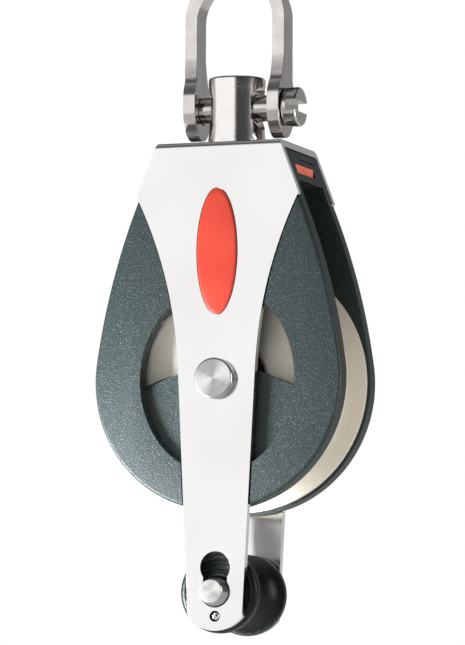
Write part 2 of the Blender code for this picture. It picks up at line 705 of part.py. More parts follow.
def bearing():
    race_half = CHEEK_IN - GAP
    race = [(RACE_IN, -race_half), (RACE_OUT, -race_half), (RACE_OUT, race_half),
            (RACE_IN, race_half)]
    turned("inner_race", race, (0, 1, 0), (0, 0, AXLE_Z), STEEL, 28)
    inner, outer = ROLLER_PITCH_R - CAGE_WALL / 2, ROLLER_PITCH_R + CAGE_WALL / 2
    ring = [(inner, -CAGE_HALF_W), (outer, -CAGE_HALF_W), (outer, CAGE_HALF_W),
            (inner, CAGE_HALF_W)]
    cage = turned("roller_cage", ring, (0, 1, 0), (0, 0, AXLE_Z), TORLON, 33)
    half = ROLLER_HALF_L + GAP
    for i in range(ROLLERS):
        x, z = on_circle(ROLLER_PITCH_R, i, ROLLERS)
        rod(f"bearing_roller_{i + 1:02d}", ROLLER_R, (x, -ROLLER_HALF_L, z),
            (x, ROLLER_HALF_L, z), TORLON, 12)
        cut(cage, rod(f"roller_slot_{i}", ROLLER_R + GAP, (x, -half, z), (x, half, z), steps=12))


def on_circle(radius, index, count):
    """Place of one of a ring of pieces round the axle, the first straight up."""
    angle = 2 * math.pi * index / count
    return radius * math.sin(angle), AXLE_Z + radius * math.cos(angle)


def ball(name, radius, at, finish, divisions=2):
    bm = bmesh.new()
    bmesh.ops.create_icosphere(bm, subdivisions=divisions, radius=radius,
                               matrix=Matrix.Translation(at))
    keep(name, bm, finish)


def side_ball_rows():
    wall = SIDE_BALL_R + GAP + BALL_RING_WALL
    inner, outer = SIDE_BALL_PITCH_R - wall, SIDE_BALL_PITCH_R + wall
    half = BALL_RING_T / 2
    for side, name in ((-1, "front"), (1, "rear")):
        y = side * SIDE_BALL_Y
        ring = [(inner, y - half), (outer, y - half), (outer, y + half), (inner, y + half)]
        retainer = turned(name + "_ball_ring", ring, (0, 1, 0), (0, 0, AXLE_Z), TORLON, 41)
        for i in range(SIDE_BALLS):
            x, z = on_circle(SIDE_BALL_PITCH_R, i, SIDE_BALLS)
            ball(f"{name}_side_ball_{i + 1}", SIDE_BALL_R, (x, y, z), STEEL, 1)
            cut(retainer, rod(f"{name}_ball_hole_{i}", SIDE_BALL_R + GAP,
                              (x, y - 1, z), (x, y + 1, z), steps=8))


def sheave():
    half = SHEAVE_HALF_W
    lip_y = GROOVE_R + 1.3
    groove = []
    for i in range(GROOVE_FACETS + 1):
        angle = math.radians(-165 + 150 * i / GROOVE_FACETS)
        groove.append((GROOVE_CENTRE_R + GROOVE_R * math.sin(angle),
                       GROOVE_R * math.cos(angle)))
    track = SIDE_BALL_R + GAP + BALL_RING_WALL + GAP
    track_out, track_in = SIDE_BALL_PITCH_R + track, SIDE_BALL_PITCH_R - track
    rim = [(SHEAVE_R, lip_y), (SHEAVE_R - 0.1, half - 0.4), (SHEAVE_R - 0.6, half),
           (track_out + 0.6, half), (track_out, half - 0.6), (track_out, BALL_TRACK_Y)]
    edge = track_in - 0.8
    dish = [(track_in, BALL_TRACK_Y), (track_in, WEB_EDGE_HALF_W - 0.4),
            (edge, WEB_EDGE_HALF_W)]
    for i in range(1, 8):
        share = i / 8
        radius = edge + (BORE_R + 1.0 - edge) * share
        dish.append((radius, WEB_HALF_W + (WEB_EDGE_HALF_W - WEB_HALF_W)
                     * min(1.0, abs(radius - WEB_R) / (edge - WEB_R)) ** 2))
    dish += [(BORE_R + 1.0, HUB_HALF_W), (BORE_R + 0.4, HUB_HALF_W),
             (BORE_R, HUB_HALF_W - 0.4)]
    right = rim + dish
    left = [(r, -y) for r, y in reversed(right)]
    turned("sheave", right + left + groove, (0, 1, 0), (0, 0, AXLE_Z), ALUMINIUM, 44)


# ---------------------------------------------------------------- becket
def becket():
    z = AXLE_Z + BECKET_Z
    half = STRAP_IN - GAP
    bore = BECKET_PIN_R + 0.4
    seal_r = bore + 1.2
    seal_depth = 1.4
    reach = half - SPOOL_FLANGE
    depth = SPOOL_R - SPOOL_ROOT_R
    throat = [(SPOOL_ROOT_R + depth * (1 - math.cos(math.pi / 2 * i / 4)),
               reach * math.sin(math.pi / 2 * i / 4)) for i in range(-4, 5)]
    ring_r = BECKET_BALL_DROP
    track = [(ring_r + 1.0, -half), (ring_r, -half + 0.45), (ring_r - 1.0, -half)]
    front = [(SPOOL_R - SPOOL_ROUND * (1 - math.cos(math.pi / 2 * i / 3)),
              -half + SPOOL_ROUND * (1 - math.sin(math.pi / 2 * i / 3))) for i in range(4)]
    counterbore = [(seal_r + 0.1, -half), (seal_r + 0.1, -half + seal_depth),
                   (bore, -half + seal_depth)]
    rear = [(r, -y) for r, y in front + track]
    outline = throat + rear + [(bore, half)] + list(reversed(counterbore)) \
        + list(reversed(front + track[:2]))
    turned("becket_spool", outline, (0, 1, 0), (0, 0, z), ACETAL, 28)
    seal = [(bore, -half + 0.2), (seal_r - 0.2, -half + 0.2),
            (seal_r - 0.2, -half + seal_depth - 0.3), (bore, -half + seal_depth - 0.3)]
    turned("becket_pin_ring", seal, (0, 1, 0), (0, 0, z), ACETAL, 20)
    near = STRAP_OUT + GAP
    tip = STRAP_OUT + BECKET_PIN_PROUD
    pin = [(0, -tip), (BECKET_PIN_END_R, -tip), (BECKET_PIN_R, -near), (BECKET_PIN_R, near),
           (BECKET_PIN_HEAD_R, near), (BECKET_PIN_HEAD_R, near + 1.6),
           (BECKET_PIN_HEAD_R - 0.6, near + 2.2), (0, near + 2.2)]
    turned("becket_pin", pin, (0, 1, 0), (0, 0, z), STEEL, 24)
    for side, name in ((-1, "front"), (1, "rear")):
        ball("becket_ball_" + name, BECKET_BALL_R,
             (0, side * (STRAP_OUT - STRAP_T / 2), z - BECKET_BALL_DROP), STEEL)


shackle_bow()
shackle_pin()
swivel_post()
swivel_stud()
swivel_small_parts()
strap()
badges()
COMMON = shared_cutters()
FRONT = cheek("front_cheek", False, COMMON)
cut(FRONT, detent_room())
cheek("rear_cheek", True, COMMON)
swivel_lock_slide()
lock_detent()
axle()
bearing()
side_ball_rows()
sheave()
becket()
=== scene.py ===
# %% [markdown]
# # A single sheave block
#
# This lesson dresses the engineering model of a sailing block: a polished steel strap folded
# over two moulded cheeks, a grooved sheave on rollers and balls, a swivelling shackle above
# and a small spool below. The engineering model gives every place and size, so each step
# asks it where a piece is, and makes that piece again with fine edges and a real finish.

import json
import math

import bmesh
import bpy
from mathutils import Matrix, Vector


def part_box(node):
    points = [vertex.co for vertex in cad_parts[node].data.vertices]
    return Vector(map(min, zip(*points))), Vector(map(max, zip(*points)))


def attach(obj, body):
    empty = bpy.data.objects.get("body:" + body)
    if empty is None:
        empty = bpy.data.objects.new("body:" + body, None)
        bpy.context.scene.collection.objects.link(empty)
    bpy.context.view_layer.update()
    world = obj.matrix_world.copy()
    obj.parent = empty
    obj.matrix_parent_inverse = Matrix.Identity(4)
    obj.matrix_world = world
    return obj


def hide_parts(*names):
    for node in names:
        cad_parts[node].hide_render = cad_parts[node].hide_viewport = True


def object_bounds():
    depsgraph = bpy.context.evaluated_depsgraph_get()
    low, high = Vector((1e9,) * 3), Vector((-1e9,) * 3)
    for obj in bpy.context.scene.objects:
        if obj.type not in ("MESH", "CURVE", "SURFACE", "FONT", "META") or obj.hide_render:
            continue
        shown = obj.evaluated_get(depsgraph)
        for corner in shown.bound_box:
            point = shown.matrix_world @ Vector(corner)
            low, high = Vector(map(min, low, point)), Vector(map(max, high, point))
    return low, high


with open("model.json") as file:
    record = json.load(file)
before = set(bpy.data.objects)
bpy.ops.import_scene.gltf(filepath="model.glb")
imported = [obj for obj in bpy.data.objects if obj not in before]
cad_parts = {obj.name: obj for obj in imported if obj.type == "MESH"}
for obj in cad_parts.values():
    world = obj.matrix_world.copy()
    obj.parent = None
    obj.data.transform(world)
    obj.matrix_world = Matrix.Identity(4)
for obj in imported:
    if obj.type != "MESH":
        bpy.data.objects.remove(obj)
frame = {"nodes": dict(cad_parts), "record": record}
cad_bounds = [list(corner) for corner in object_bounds()]
MM = 0.001
print("CAD box in mm:", [[round(v / MM, 1) for v in corner] for corner in cad_bounds])

# %% [markdown]
# ## Places
#
# Everything is worked out from the boxes of a few nodes: the shackle pin gives the height of
# the head, the axle gives the middle of the sheave, the becket pin the small spool. Lengths
# are in millimetres, and the meshes are scaled to metres as they are finished.

# %% Places and sizes taken from the frame


def low(node):
    """The low corner of a node's box, in millimetres."""
    return [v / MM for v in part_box(node)[0]]


def high(node):
    """The high corner of a node's box."""
    return [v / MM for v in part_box(node)[1]]


def middle(node):
    """The middle of a node's box."""
    return [(a + b) / 2 for a, b in zip(low(node), high(node))]


AXLE_Z = middle("axle")[2]
PIN_Z = middle("shackle_pin")[2]
BECKET_Z = middle("becket_pin")[2]
BRIDGE_TOP = high("strap")[2]
STRAP_OUT = high("strap")[1]
STRAP_T = 2.2
STRAP_IN = STRAP_OUT - STRAP_T
CHEEK_T = 5.1
CHEEK_OUT = -low("front_cheek")[1]
CHEEK_IN = CHEEK_OUT - CHEEK_T
SHEAVE_R = (high("sheave")[0] - low("sheave")[0]) / 2
SHEAVE_HALF = high("sheave")[1]
AXLE_HOLE_R = 5.3
STUD_HOLE_R = 5.3
GAP = 0.3                    # between pieces that touch on the real block
print(f"axle at {AXLE_Z:.2f}, shackle pin at {PIN_Z:.2f}, becket at {BECKET_Z:.2f}")

# %% [markdown]
# ## Camera
#
# The block is looked at from a little to its right and from below, with a long lens, so its
# sides run almost parallel. The camera is placed by its bearing and height round the axle and
# then aimed, which keeps the sensor centred with no shift.

# %% Camera
CAMERA_BEARING = 20.50
CAMERA_ELEVATION = -4.98
CAMERA_DISTANCE = 1402.6
CAMERA_YAW = 20.54
CAMERA_PITCH = 5.705
CAMERA_ROLL = 0.334
LENS_MM = 267.3
SENSOR_MM = 36.0
NEAR_CLIP_MM = 50.0


def add_camera():
    """A long lens at the given bearing, with its own yaw, pitch and roll."""
    bearing, elevation = math.radians(CAMERA_BEARING), math.radians(CAMERA_ELEVATION)
    yaw, pitch = math.radians(CAMERA_YAW), math.radians(CAMERA_PITCH)
    place = Vector((math.sin(bearing) * math.cos(elevation),
                    -math.cos(bearing) * math.cos(elevation), math.sin(elevation)))
    place = place * CAMERA_DISTANCE + Vector((0, 0, AXLE_Z))
    ahead = Vector((-math.sin(yaw) * math.cos(pitch), math.cos(yaw) * math.cos(pitch),
                    math.sin(pitch)))
    right = Vector((math.cos(yaw), math.sin(yaw), 0))
    basis = Matrix((right, right.cross(ahead), -ahead)).transposed()
    roll = Matrix.Rotation(math.radians(CAMERA_ROLL), 3, "Z")
    data = bpy.data.cameras.new("camera")
    data.lens = LENS_MM
    data.sensor_width = SENSOR_MM
    data.clip_start = NEAR_CLIP_MM * MM
    camera = bpy.data.objects.new("camera", data)
    camera.matrix_world = Matrix.Translation(place * MM) @ (basis @ roll).to_4x4()
    bpy.context.scene.collection.objects.link(camera)
    bpy.context.scene.camera = camera
    return camera


camera = add_camera()
print("camera at", [round(v, 3) for v in camera.location])

# %% [markdown]
# ## One helper for nodes
#
# Materials, the world and the Geometry Nodes trees are all trees of nodes. One function adds
# a node, sets its properties and fills its inputs: an input that is given another node's
# socket is linked, and any other value is written on the input itself.

# %% Node helper and colours


def add(tree, kind, inputs=None, **settings):
    """A node with its properties set and its inputs linked or written."""
    made = tree.nodes.new(kind)
    for key, value in settings.items():
        setattr(made, key, value)
    for key, value in (inputs or {}).items():
        if isinstance(value, bpy.types.NodeSocket):
            tree.links.new(value, made.inputs[key])
        else:
            made.inputs[key].default_value = value
    return made


def ramp(tree, factor, stops):
    """A Color Ramp through (position, grey or hex) stops."""
    made = add(tree, "ShaderNodeValToRGB", {"Fac": factor})
    points = made.color_ramp.elements
    while len(points) < len(stops):
        points.new(0.5)
    for point, (position, colour) in zip(points, stops):
        point.position = position
        point.color = linear(colour) if isinstance(colour, str) else (colour,) * 3 + (1,)
    return made.outputs["Color"]


def linear(colour):
    """An sRGB hex colour as linear RGBA."""
    values = [int(colour[i:i + 2], 16) / 255 for i in (1, 3, 5)]
    return tuple(v / 12.92 if v <= 0.04045 else ((v + 0.055) / 1.055) ** 2.4
                 for v in values) + (1.0,)


# %% [markdown]
# ## Studio
#
# Polished steel shows the room more than itself. The post's upright bands and the strap's
# even white come from one wide white card to the left of the camera, with a dark gap from
# the camera round to the right. The world holds that room as a ramp by compass bearing, and
# the camera itself sees plain white behind the block. One lamp low on the left lights the
# undersides, and a faint one stands at the right.

# %% World
CARD_LEVELS = [
    # bearing in degrees from the front towards the block's right, brightness
    (-180, 0.36), (-135, 0.06), (-112, 0.05), (-84, 0.50), (-76, 1.04), (8, 1.04), (15, 0.14),
    (22, 0.05), (64, 0.07), (76, 0.16), (92, 0.42), (100, 0.20), (118, 0.10), (148, 0.27),
    (180, 0.36),
]

SHADE_LEVELS = [
    # how much of the card shows, from straight down at 0 to straight up at 1
    (0.0, 0.10), (0.25, 0.14), (0.37, 0.3), (0.45, 1.0), (0.66, 1.0), (0.76, 0.12), (1.0, 0.10),
]
ABOVE_LEVELS = [
    # faint light from the floor and the ceiling, over the same range
    (0.0, 0.20), (0.20, 0.10), (0.32, 0.0), (0.90, 0.0), (0.96, 0.22), (1.0, 0.30),
]


def build_world():
    """The room as ramps by bearing and by height, and white for the camera itself."""
    world = bpy.data.worlds.new("studio")
    world.use_nodes = True
    bpy.context.scene.world = world
    tree = world.node_tree
    tree.nodes.clear()
    direction = add(tree, "ShaderNodeTexCoord").outputs["Generated"]
    axes = add(tree, "ShaderNodeSeparateXYZ", {0: direction})
    front = add(tree, "ShaderNodeMath", {0: axes.outputs["Y"], 1: -1.0}, operation="MULTIPLY")
    bearing = add(tree, "ShaderNodeMath", {0: axes.outputs["X"], 1: front.outputs[0]},
                  operation="ARCTAN2")
    turn = add(tree, "ShaderNodeMapRange", {0: bearing.outputs[0], 1: -math.pi, 2: math.pi})
    room = ramp(tree, turn.outputs[0], [((b + 180) / 360, level) for b, level in CARD_LEVELS])
    height = add(tree, "ShaderNodeMapRange", {0: axes.outputs["Z"], 1: -1.0, 2: 1.0})
    shade = ramp(tree, height.outputs[0], SHADE_LEVELS)
    above = ramp(tree, height.outputs[0], ABOVE_LEVELS)
    lit = add(tree, "ShaderNodeMix", {"Factor": 1.0, "A": room, "B": shade},
              data_type="RGBA", blend_type="MULTIPLY")
    full = add(tree, "ShaderNodeMix", {"Factor": 1.0, "A": lit.outputs["Result"], "B": above},
               data_type="RGBA", blend_type="SCREEN")
    studio = add(tree, "ShaderNodeBackground", {"Color": full.outputs["Result"], "Strength": 1.0})
    plain = add(tree, "ShaderNodeBackground", {"Color": (1, 1, 1, 1), "Strength": 1.0})
    eye = add(tree, "ShaderNodeLightPath").outputs["Is Camera Ray"]
    mixed = add(tree, "ShaderNodeMixShader", {0: eye, 1: studio.outputs[0], 2: plain.outputs[0]})
    add(tree, "ShaderNodeOutputWorld", {"Surface": mixed.outputs[0]})


build_world()
print("world:", len(CARD_LEVELS), "bearings")

# %% Floor and lamps
FLOOR_DROP = 160.0           # floor under the block's lowest point
FLOOR_GLOW = 0.42            # keeps the floor pale, as the room above it is dark
FLOOR_HALF_M = 3.0
FLOOR_ROUGHNESS = 0.9


def add_card(name, place, aim, size, watts, colour="#ffffff"):
    """A soft rectangular lamp, placed and aimed in millimetres round the axle."""
    data = bpy.data.lights.new(name, "AREA")
    data.shape = "RECTANGLE"
    data.size, data.size_y = size[0] * MM, size[1] * MM
    data.energy = watts
    data.color = linear(colour)[:3]
    lamp = bpy.data.objects.new(name, data)
    at = Vector(place)
    lamp.location = (at + Vector((0, 0, AXLE_Z))) * MM
    lamp.rotation_euler = (Vector(aim) - at).to_track_quat("-Z", "Y").to_euler()
    bpy.context.scene.collection.objects.link(lamp)


def add_floor():
    """A pale floor far below the block."""
    floor_z = cad_bounds[0][2] - FLOOR_DROP * MM
    bm = bmesh.new()
    bmesh.ops.create_grid(bm, x_segments=1, y_segments=1, size=FLOOR_HALF_M,
                          matrix=Matrix.Translation((0, 0, floor_z)))
    mesh = bpy.data.meshes.new("studio_floor")
    bm.to_mesh(mesh)
    bm.free()
    floor = bpy.data.objects.new("studio_floor", mesh)
    bpy.context.scene.collection.objects.link(floor)
    paint = bpy.data.materials.new("floor_paint")
    paint.use_nodes = True
    shader = paint.node_tree.nodes["Principled BSDF"]
    shader.inputs["Base Color"].default_value = linear("#f4f4f2")
    shader.inputs["Roughness"].default_value = FLOOR_ROUGHNESS
    shader.inputs["Emission Color"].default_value = linear("#f4f4f2")
    shader.inputs["Emission Strength"].default_value = FLOOR_GLOW
    mesh.materials.append(paint)


add_floor()
add_card("low_left_card", (-135, -104, -80), (-32, -16, -22), (70, 70), 1.25, "#f5faff")
add_card("right_card", (220, -28, 8), (20, 0, 20), (60, 140), 0.22, "#fff9f4")
bpy.context.scene.view_settings.view_transform = "Standard"
print("lamps:", [light.name for light in bpy.data.lights])

# %% [markdown]
# ## Finishes
#
# The steel is 316 stainless, pressed and then polished on a wheel: the wheel leaves hair-fine
# lines and a faint roll in the surface. The cheeks are nylon with chopped glass, which comes
# out of the mould dark with light specks of fibre ends, partly their own colour and partly a
# painted highlight. The sheave is turned aluminium with a satin skin, the spool black acetal,
# and the badge and the lock are a red moulding, the lock's copy painted lighter as painted
# light for the shade it stands in. The faced ends of the axle and becket pin carry a painted
# highlight.

# %% Material helper


def start(name, base, roughness, metallic=0.0, ior=None, **sockets):
    """A material with its Principled shader's plain values set on the sockets."""
    made = bpy.data.materials.new(name)
    made.use_nodes = True
    shader = made.node_tree.nodes["Principled BSDF"]
    shader.inputs["Base Color"].default_value = linear(base)
    shader.inputs["Roughness"].default_value = roughness
    shader.inputs["Metallic"].default_value = metallic
    if ior:
        shader.inputs["IOR"].default_value = ior
    for key, value in sockets.items():
        shader.inputs[key.replace("_", " ")].default_value = value
    return made, made.node_tree, shader


def about(tree, centre=(0, 0, AXLE_Z), scale=(1, 1, 1)):
    """Object coordinates counted from a place given in millimetres."""
    point = add(tree, "ShaderNodeTexCoord").outputs["Object"]
    moved = add(tree, "ShaderNodeVectorMath",
                {0: point, 1: tuple(v * MM for v in centre)}, operation="SUBTRACT")
    return add(tree, "ShaderNodeVectorMath", {0: moved.outputs[0], 1: scale},
               operation="MULTIPLY").outputs[0]


def noise(tree, vector, spacing_mm, detail=2.0, roughness=0.5):
    """A noise texture with its features spaced in millimetres."""
    return add(tree, "ShaderNodeTexNoise",
               {"Vector": vector, "Scale": 1.0 / (spacing_mm * MM), "Detail": detail,
                "Roughness": roughness}).outputs["Fac"]


def spread(tree, factor, low_value, high_value, start_at=0.3, end_at=0.7):
    """Maps a texture's middle range onto two values."""
    return add(tree, "ShaderNodeMapRange", {0: factor, 1: start_at, 2: end_at, 3: low_value,
                                            4: high_value}).outputs[0]


def rough(tree, shader, factor, smoothest, roughest):
    """Roughness between two values, by a texture."""
    tree.links.new(spread(tree, factor, smoothest, roughest), shader.inputs["Roughness"])


def tint(tree, shader, factor, *stops):
    """Base colour through a Color Ramp, by a texture."""
    tree.links.new(ramp(tree, factor, stops), shader.inputs["Base Color"])


def bump(tree, shader, height, depth_mm, strength=1.0):
    """Links a height, whose depth is in millimetres, to the shader's normal."""
    made = add(tree, "ShaderNodeBump", {"Height": height, "Strength": strength,
                                        "Distance": depth_mm * MM})
    tree.links.new(made.outputs["Normal"], shader.inputs["Normal"])


# %% Polished stainless


def polished_stainless():
    """Wheel-polished 316 sheet: sharp reflections, a faint roll, hair lines up the strap."""
    made, tree, shader = start("polished_stainless", "#eeeded", 0.10, 1.0)
    here = about(tree)
    along = about(tree, scale=(1, 1, 0.04))
    hair = noise(tree, along, 0.35, 3.0)
    cloud = noise(tree, here, 22.0, 1.0)
    rough(tree, shader, hair, 0.08, 0.15)
    tint(tree, shader, cloud, (0.3, "#ecebea"), (0.7, "#f2f1f1"))
    bump(tree, shader, hair, 0.002, 0.4)
    return made


def forged_stainless(name, dark, light, pit_mm):
    """Forged and tumbled fittings: the same steel with a softer, pitted polish."""
    made, tree, shader = start(name, dark, 0.16, 1.0)
    here = about(tree, (0, 0, PIN_Z))
    pits = noise(tree, here, 0.7, 4.0, 0.6)
    cloud = noise(tree, here, 5.0, 2.0)
    rough(tree, shader, pits, 0.07, 0.22)
    tint(tree, shader, cloud, (0.3, dark), (0.7, light))
    blend = add(tree, "ShaderNodeMath", {0: pits, 1: noise(tree, here, 3.0)}, operation="ADD")
    bump(tree, shader, blend.outputs[0], pit_mm, 0.6)
    return made


def lathe_turned(name, centre, base, roughness, pitch_mm, depth_mm, painted_sector_shade, metallic=1.0):
    """Turned about the Y axis: rings at the tool's feed, and a painted highlight in the base
    colour: two bright sectors like those a faced end shows, with painted shade between them, where
    shimmer is how dark the painted shade falls."""
    made, tree, shader = start(name, base, roughness, metallic, Anisotropic=0.4 * metallic)
    here = about(tree, centre)
    axes = add(tree, "ShaderNodeSeparateXYZ", {0: here})
    flat = add(tree, "ShaderNodeCombineXYZ", {"X": axes.outputs["X"], "Z": axes.outputs["Z"]})
    radius = add(tree, "ShaderNodeVectorMath", {0: flat.outputs[0]}, operation="LENGTH")
    rings = add(tree, "ShaderNodeCombineXYZ",
                {"X": radius.outputs["Value"], "Y": axes.outputs["Y"]})
    feed = noise(tree, rings.outputs[0], pitch_mm, 2.0, 0.7)
    rough(tree, shader, feed, roughness - 0.06, roughness + 0.08)
    bump(tree, shader, feed, depth_mm, 0.5)
    around = add(tree, "ShaderNodeVectorMath", {0: flat.outputs[0], 1: (0, 1, 0)},
                 operation="CROSS_PRODUCT")
    tree.links.new(around.outputs[0], shader.inputs["Tangent"])
    # Painted highlight: the base colour is lifted in two sectors and darkened between them,
    # standing in for the reflection of a faced end.
    turn = add(tree, "ShaderNodeMath", {0: axes.outputs["Z"], 1: axes.outputs["X"]},
               operation="ARCTAN2")
    doubled = add(tree, "ShaderNodeMath", {0: turn.outputs[0], 1: 2.0, 2: -0.9},
                  operation="MULTIPLY_ADD")
    wave = add(tree, "ShaderNodeMath", {0: doubled.outputs[0]}, operation="COSINE")
    level = add(tree, "ShaderNodeMapRange", {0: wave.outputs[0], 1: -0.4, 2: 1.0,
                                             3: 1.0 - painted_sector_shade, 4: 1.0}).outputs[0]
    sector_painted_base = add(tree, "ShaderNodeVectorMath", {0: linear(base)[:3], "Scale": level},
                 operation="SCALE")
    tree.links.new(sector_painted_base.outputs[0], shader.inputs["Base Color"])
    return made


def glass_filled_nylon():
    """Black nylon with a third of chopped glass: dark slate with light specks of fibre ends,
    partly their own lighter colour and partly a painted highlight in the base colour.
    """
    made, tree, shader = start("glass_filled_nylon", "#1f2d2e", 0.42, ior=1.5)
    here = about(tree)
    grain = noise(tree, here, 0.6, 4.0, 0.7)
    # Specks of fibre ends, lighter in the base colour: partly the glass's own colour, partly a
    # painted highlight.
    cells = add(tree, "ShaderNodeTexVoronoi", {"Vector": here, "Scale": 1.0 / (0.5 * MM)},
                feature="F1")
    sparkle = ramp(tree, cells.outputs["Distance"], [(0.0, 1.0), (0.2, 0.6), (0.42, 0.0)])
    chance = add(tree, "ShaderNodeSeparateColor", {0: cells.outputs["Color"]})
    chosen = ramp(tree, chance.outputs[0], [(0.3, 0.0), (0.9, 1.0)])
    speck_and_painted_glint = add(tree, "ShaderNodeMath", {0: sparkle, 1: chosen}, operation="MULTIPLY").outputs[0]
    base = ramp(tree, grain, [(0.25, "#12211f"), (0.5, "#202d2d"), (0.78, "#32403f")])
    coloured = add(tree, "ShaderNodeMix", {"Factor": speck_and_painted_glint, "A": base, "B": linear("#566365")},
                   data_type="RGBA")
    tree.links.new(coloured.outputs["Result"], shader.inputs["Base Color"])
    rough(tree, shader, grain, 0.36, 0.56)
    both = add(tree, "ShaderNodeMath", {0: grain, 1: speck_and_painted_glint}, operation="ADD").outputs[0]
    bump(tree, shader, both, 0.12, 0.7)
    return made


def black_acetal():
    """Moulded acetal: near black, waxy, with the fine wrinkle of a cooled skin."""
    made, tree, shader = start("black_acetal", "#050909", 0.34, ior=1.48)
    shader.inputs["Specular IOR Level"].default_value = 0.3
    here = about(tree, (0, 0, BECKET_Z))
    wrinkle = noise(tree, here, 0.9, 4.0, 0.65)
    rough(tree, shader, wrinkle, 0.26, 0.46)
    tint(tree, shader, wrinkle, (0.3, "#030606"), (0.75, "#0c1414"))
    bump(tree, shader, wrinkle, 0.14, 0.8)
    return made


def red_moulding(name, dark, light):
    """Signal-red moulding with a satin mould finish."""
    made, tree, shader = start(name, dark, 0.42, ior=1.5)
    here = about(tree)
    grain = noise(tree, here, 0.5, 2.0)
    cloud = noise(tree, here, 12.0, 1.0)
    tint(tree, shader, cloud, (0.3, dark), (0.7, light))
    rough(tree, shader, grain, 0.36, 0.5)
    bump(tree, shader, grain, 0.02, 0.5)
    return made


def bearing_polymer():
    """Bearing-grade polymer, brown and matt with a faint mottle."""
    made, tree, shader = start("bearing_polymer", "#6d5a3c", 0.5, ior=1.55)
    here = about(tree)
    mottle = noise(tree, here, 0.8, 3.0)
    tint(tree, shader, mottle, (0.3, "#5f4e33"), (0.7, "#7c6847"))
    rough(tree, shader, mottle, 0.42, 0.58)
    bump(tree, shader, mottle, 0.015, 0.4)
    return made


def spring_steel():
    """Drawn spring wire and pins: plain bright steel with draw lines."""
    made, tree, shader = start("spring_steel", "#a6a6a8", 0.28, 1.0)
    lines = noise(tree, about(tree, (0, 0, PIN_Z), (1, 0.1, 1)), 0.2, 2.0)
    rough(tree, shader, lines, 0.2, 0.36)
    bump(tree, shader, lines, 0.01, 0.4)
    return made


STEEL = polished_stainless()
FORGED = forged_stainless("forged_stainless", "#d3cecb", "#e4e0dd", 0.03)
TURNED = forged_stainless("turned_stainless", "#efebe9", "#f6f3f1", 0.012)
NYLON = glass_filled_nylon()
ACETAL = black_acetal()
RED = red_moulding("red_moulding", "#bd2f1b", "#c83b25")
# The lock is the same red moulding painted lighter: painted light, making up for the shade its
# side face stands in.
LOCK_RED_PAINTED_LIGHT = red_moulding("red_moulding_painted_lighter", "#e87156", "#f27f62")
POLYMER = bearing_polymer()
SPRING = spring_steel()
# The axle and becket pin ends carry a painted highlight in their base colour; the aluminium is
# given none.
AXLE_STEEL = lathe_turned("faced_stainless_painted_highlight", (0, 0, AXLE_Z), "#eceae8", 0.2, 0.25, 0.01, 0.5)
BECKET_STEEL = lathe_turned("faced_pin_stainless_painted_highlight", (0, 0, BECKET_Z), "#eceae8", 0.2, 0.25,
                            0.01, 0.4)
ALUMINIUM = lathe_turned("satin_turned_aluminium", (0, 0, AXLE_Z), "#ebe5d8", 0.5, 0.6, 0.008,
                         0.0, 0.4)
print("finishes:", [m.name for m in bpy.data.materials])

# %% Dress the engineering nodes first
NODE_FINISH = {
    "polished_stainless": FORGED, "glass_filled_nylon": NYLON, "satin_aluminium": ALUMINIUM,
    "black_acetal": ACETAL, "red_moulding": RED, "bearing_polymer": POLYMER,
    "spring_steel": SPRING,
}
for part in frame["record"]["subparts"]:
    mesh = frame["nodes"][part["node"]].data
    mesh.materials.clear()
    mesh.materials.append(NODE_FINISH[part["material_slot"]])

# %% [markdown]
# ## Shape tools
#
# The engineering meshes are light, with flat facets, so every visible piece is made again
# with fine curves. A piece starts as a turned profile or as a flat outline pulled into a
# prism, in millimetres. Booleans cut it, a narrow bevel catches the light along its edges,
# and it then takes the place of its engineering node on the same moving body.

# %% Shape tools
BODY_OF = {node: body for body, nodes in frame["record"]["behaviour"]["bodies"].items()
           for node in nodes}


def as_object(name, bm):
    """A bmesh in millimetres as an object in metres, with its faces turned outward."""
    bmesh.ops.remove_doubles(bm, verts=bm.verts[:], dist=1e-4)
    bmesh.ops.recalc_face_normals(bm, faces=bm.faces[:])
    bmesh.ops.scale(bm, vec=(MM, MM, MM), verts=bm.verts[:])
    mesh = bpy.data.meshes.new(name)
    bm.to_mesh(mesh)
    bm.free()
    made = bpy.data.objects.new(name, mesh)
    bpy.context.scene.collection.objects.link(made)
    return made


def turned(name, profile, axis, at, steps=160):
    """Solid of revolution from (radius, along) points about an axis through a place."""
    bm = bmesh.new()
    verts = [bm.verts.new((radius, 0, along)) for radius, along in profile]
    edges = [bm.edges.new(pair) for pair in zip(verts, verts[1:])]
    if profile[0][0] > 0 or profile[-1][0] > 0:
        edges.append(bm.edges.new((verts[-1], verts[0])))
    bmesh.ops.spin(bm, geom=verts + edges, cent=(0, 0, 0), axis=(0, 0, 1),
                   angle=2 * math.pi, steps=steps, use_merge=True)
    aim = Vector((0, 0, 1)).rotation_difference(Vector(axis)).to_matrix().to_4x4()
    bmesh.ops.transform(bm, matrix=Matrix.Translation(at) @ aim, verts=bm.verts[:])
    return as_object(name, bm)


def prism(name, outline, along, start_at, end_at, taper=None):
    """Prism of a flat outline; taper gives the outline at the far end, point for point."""
    place = {"Y": lambda u, v, w: (u, w, v), "Z": lambda u, v, w: (u, v, w),
             "X": lambda u, v, w: (w, u, v)}[along]
    bm = bmesh.new()
    near = [bm.verts.new(place(u, v, start_at)) for u, v in outline]
    far = [bm.verts.new(place(u, v, end_at)) for u, v in (taper or outline)]
    bm.faces.new(near)
    bm.faces.new(far)
    for i in range(len(near)):
        j = (i + 1) % len(near)
        bm.faces.new((near[i], near[j], far[j], far[i]))
    return as_object(name, bm)


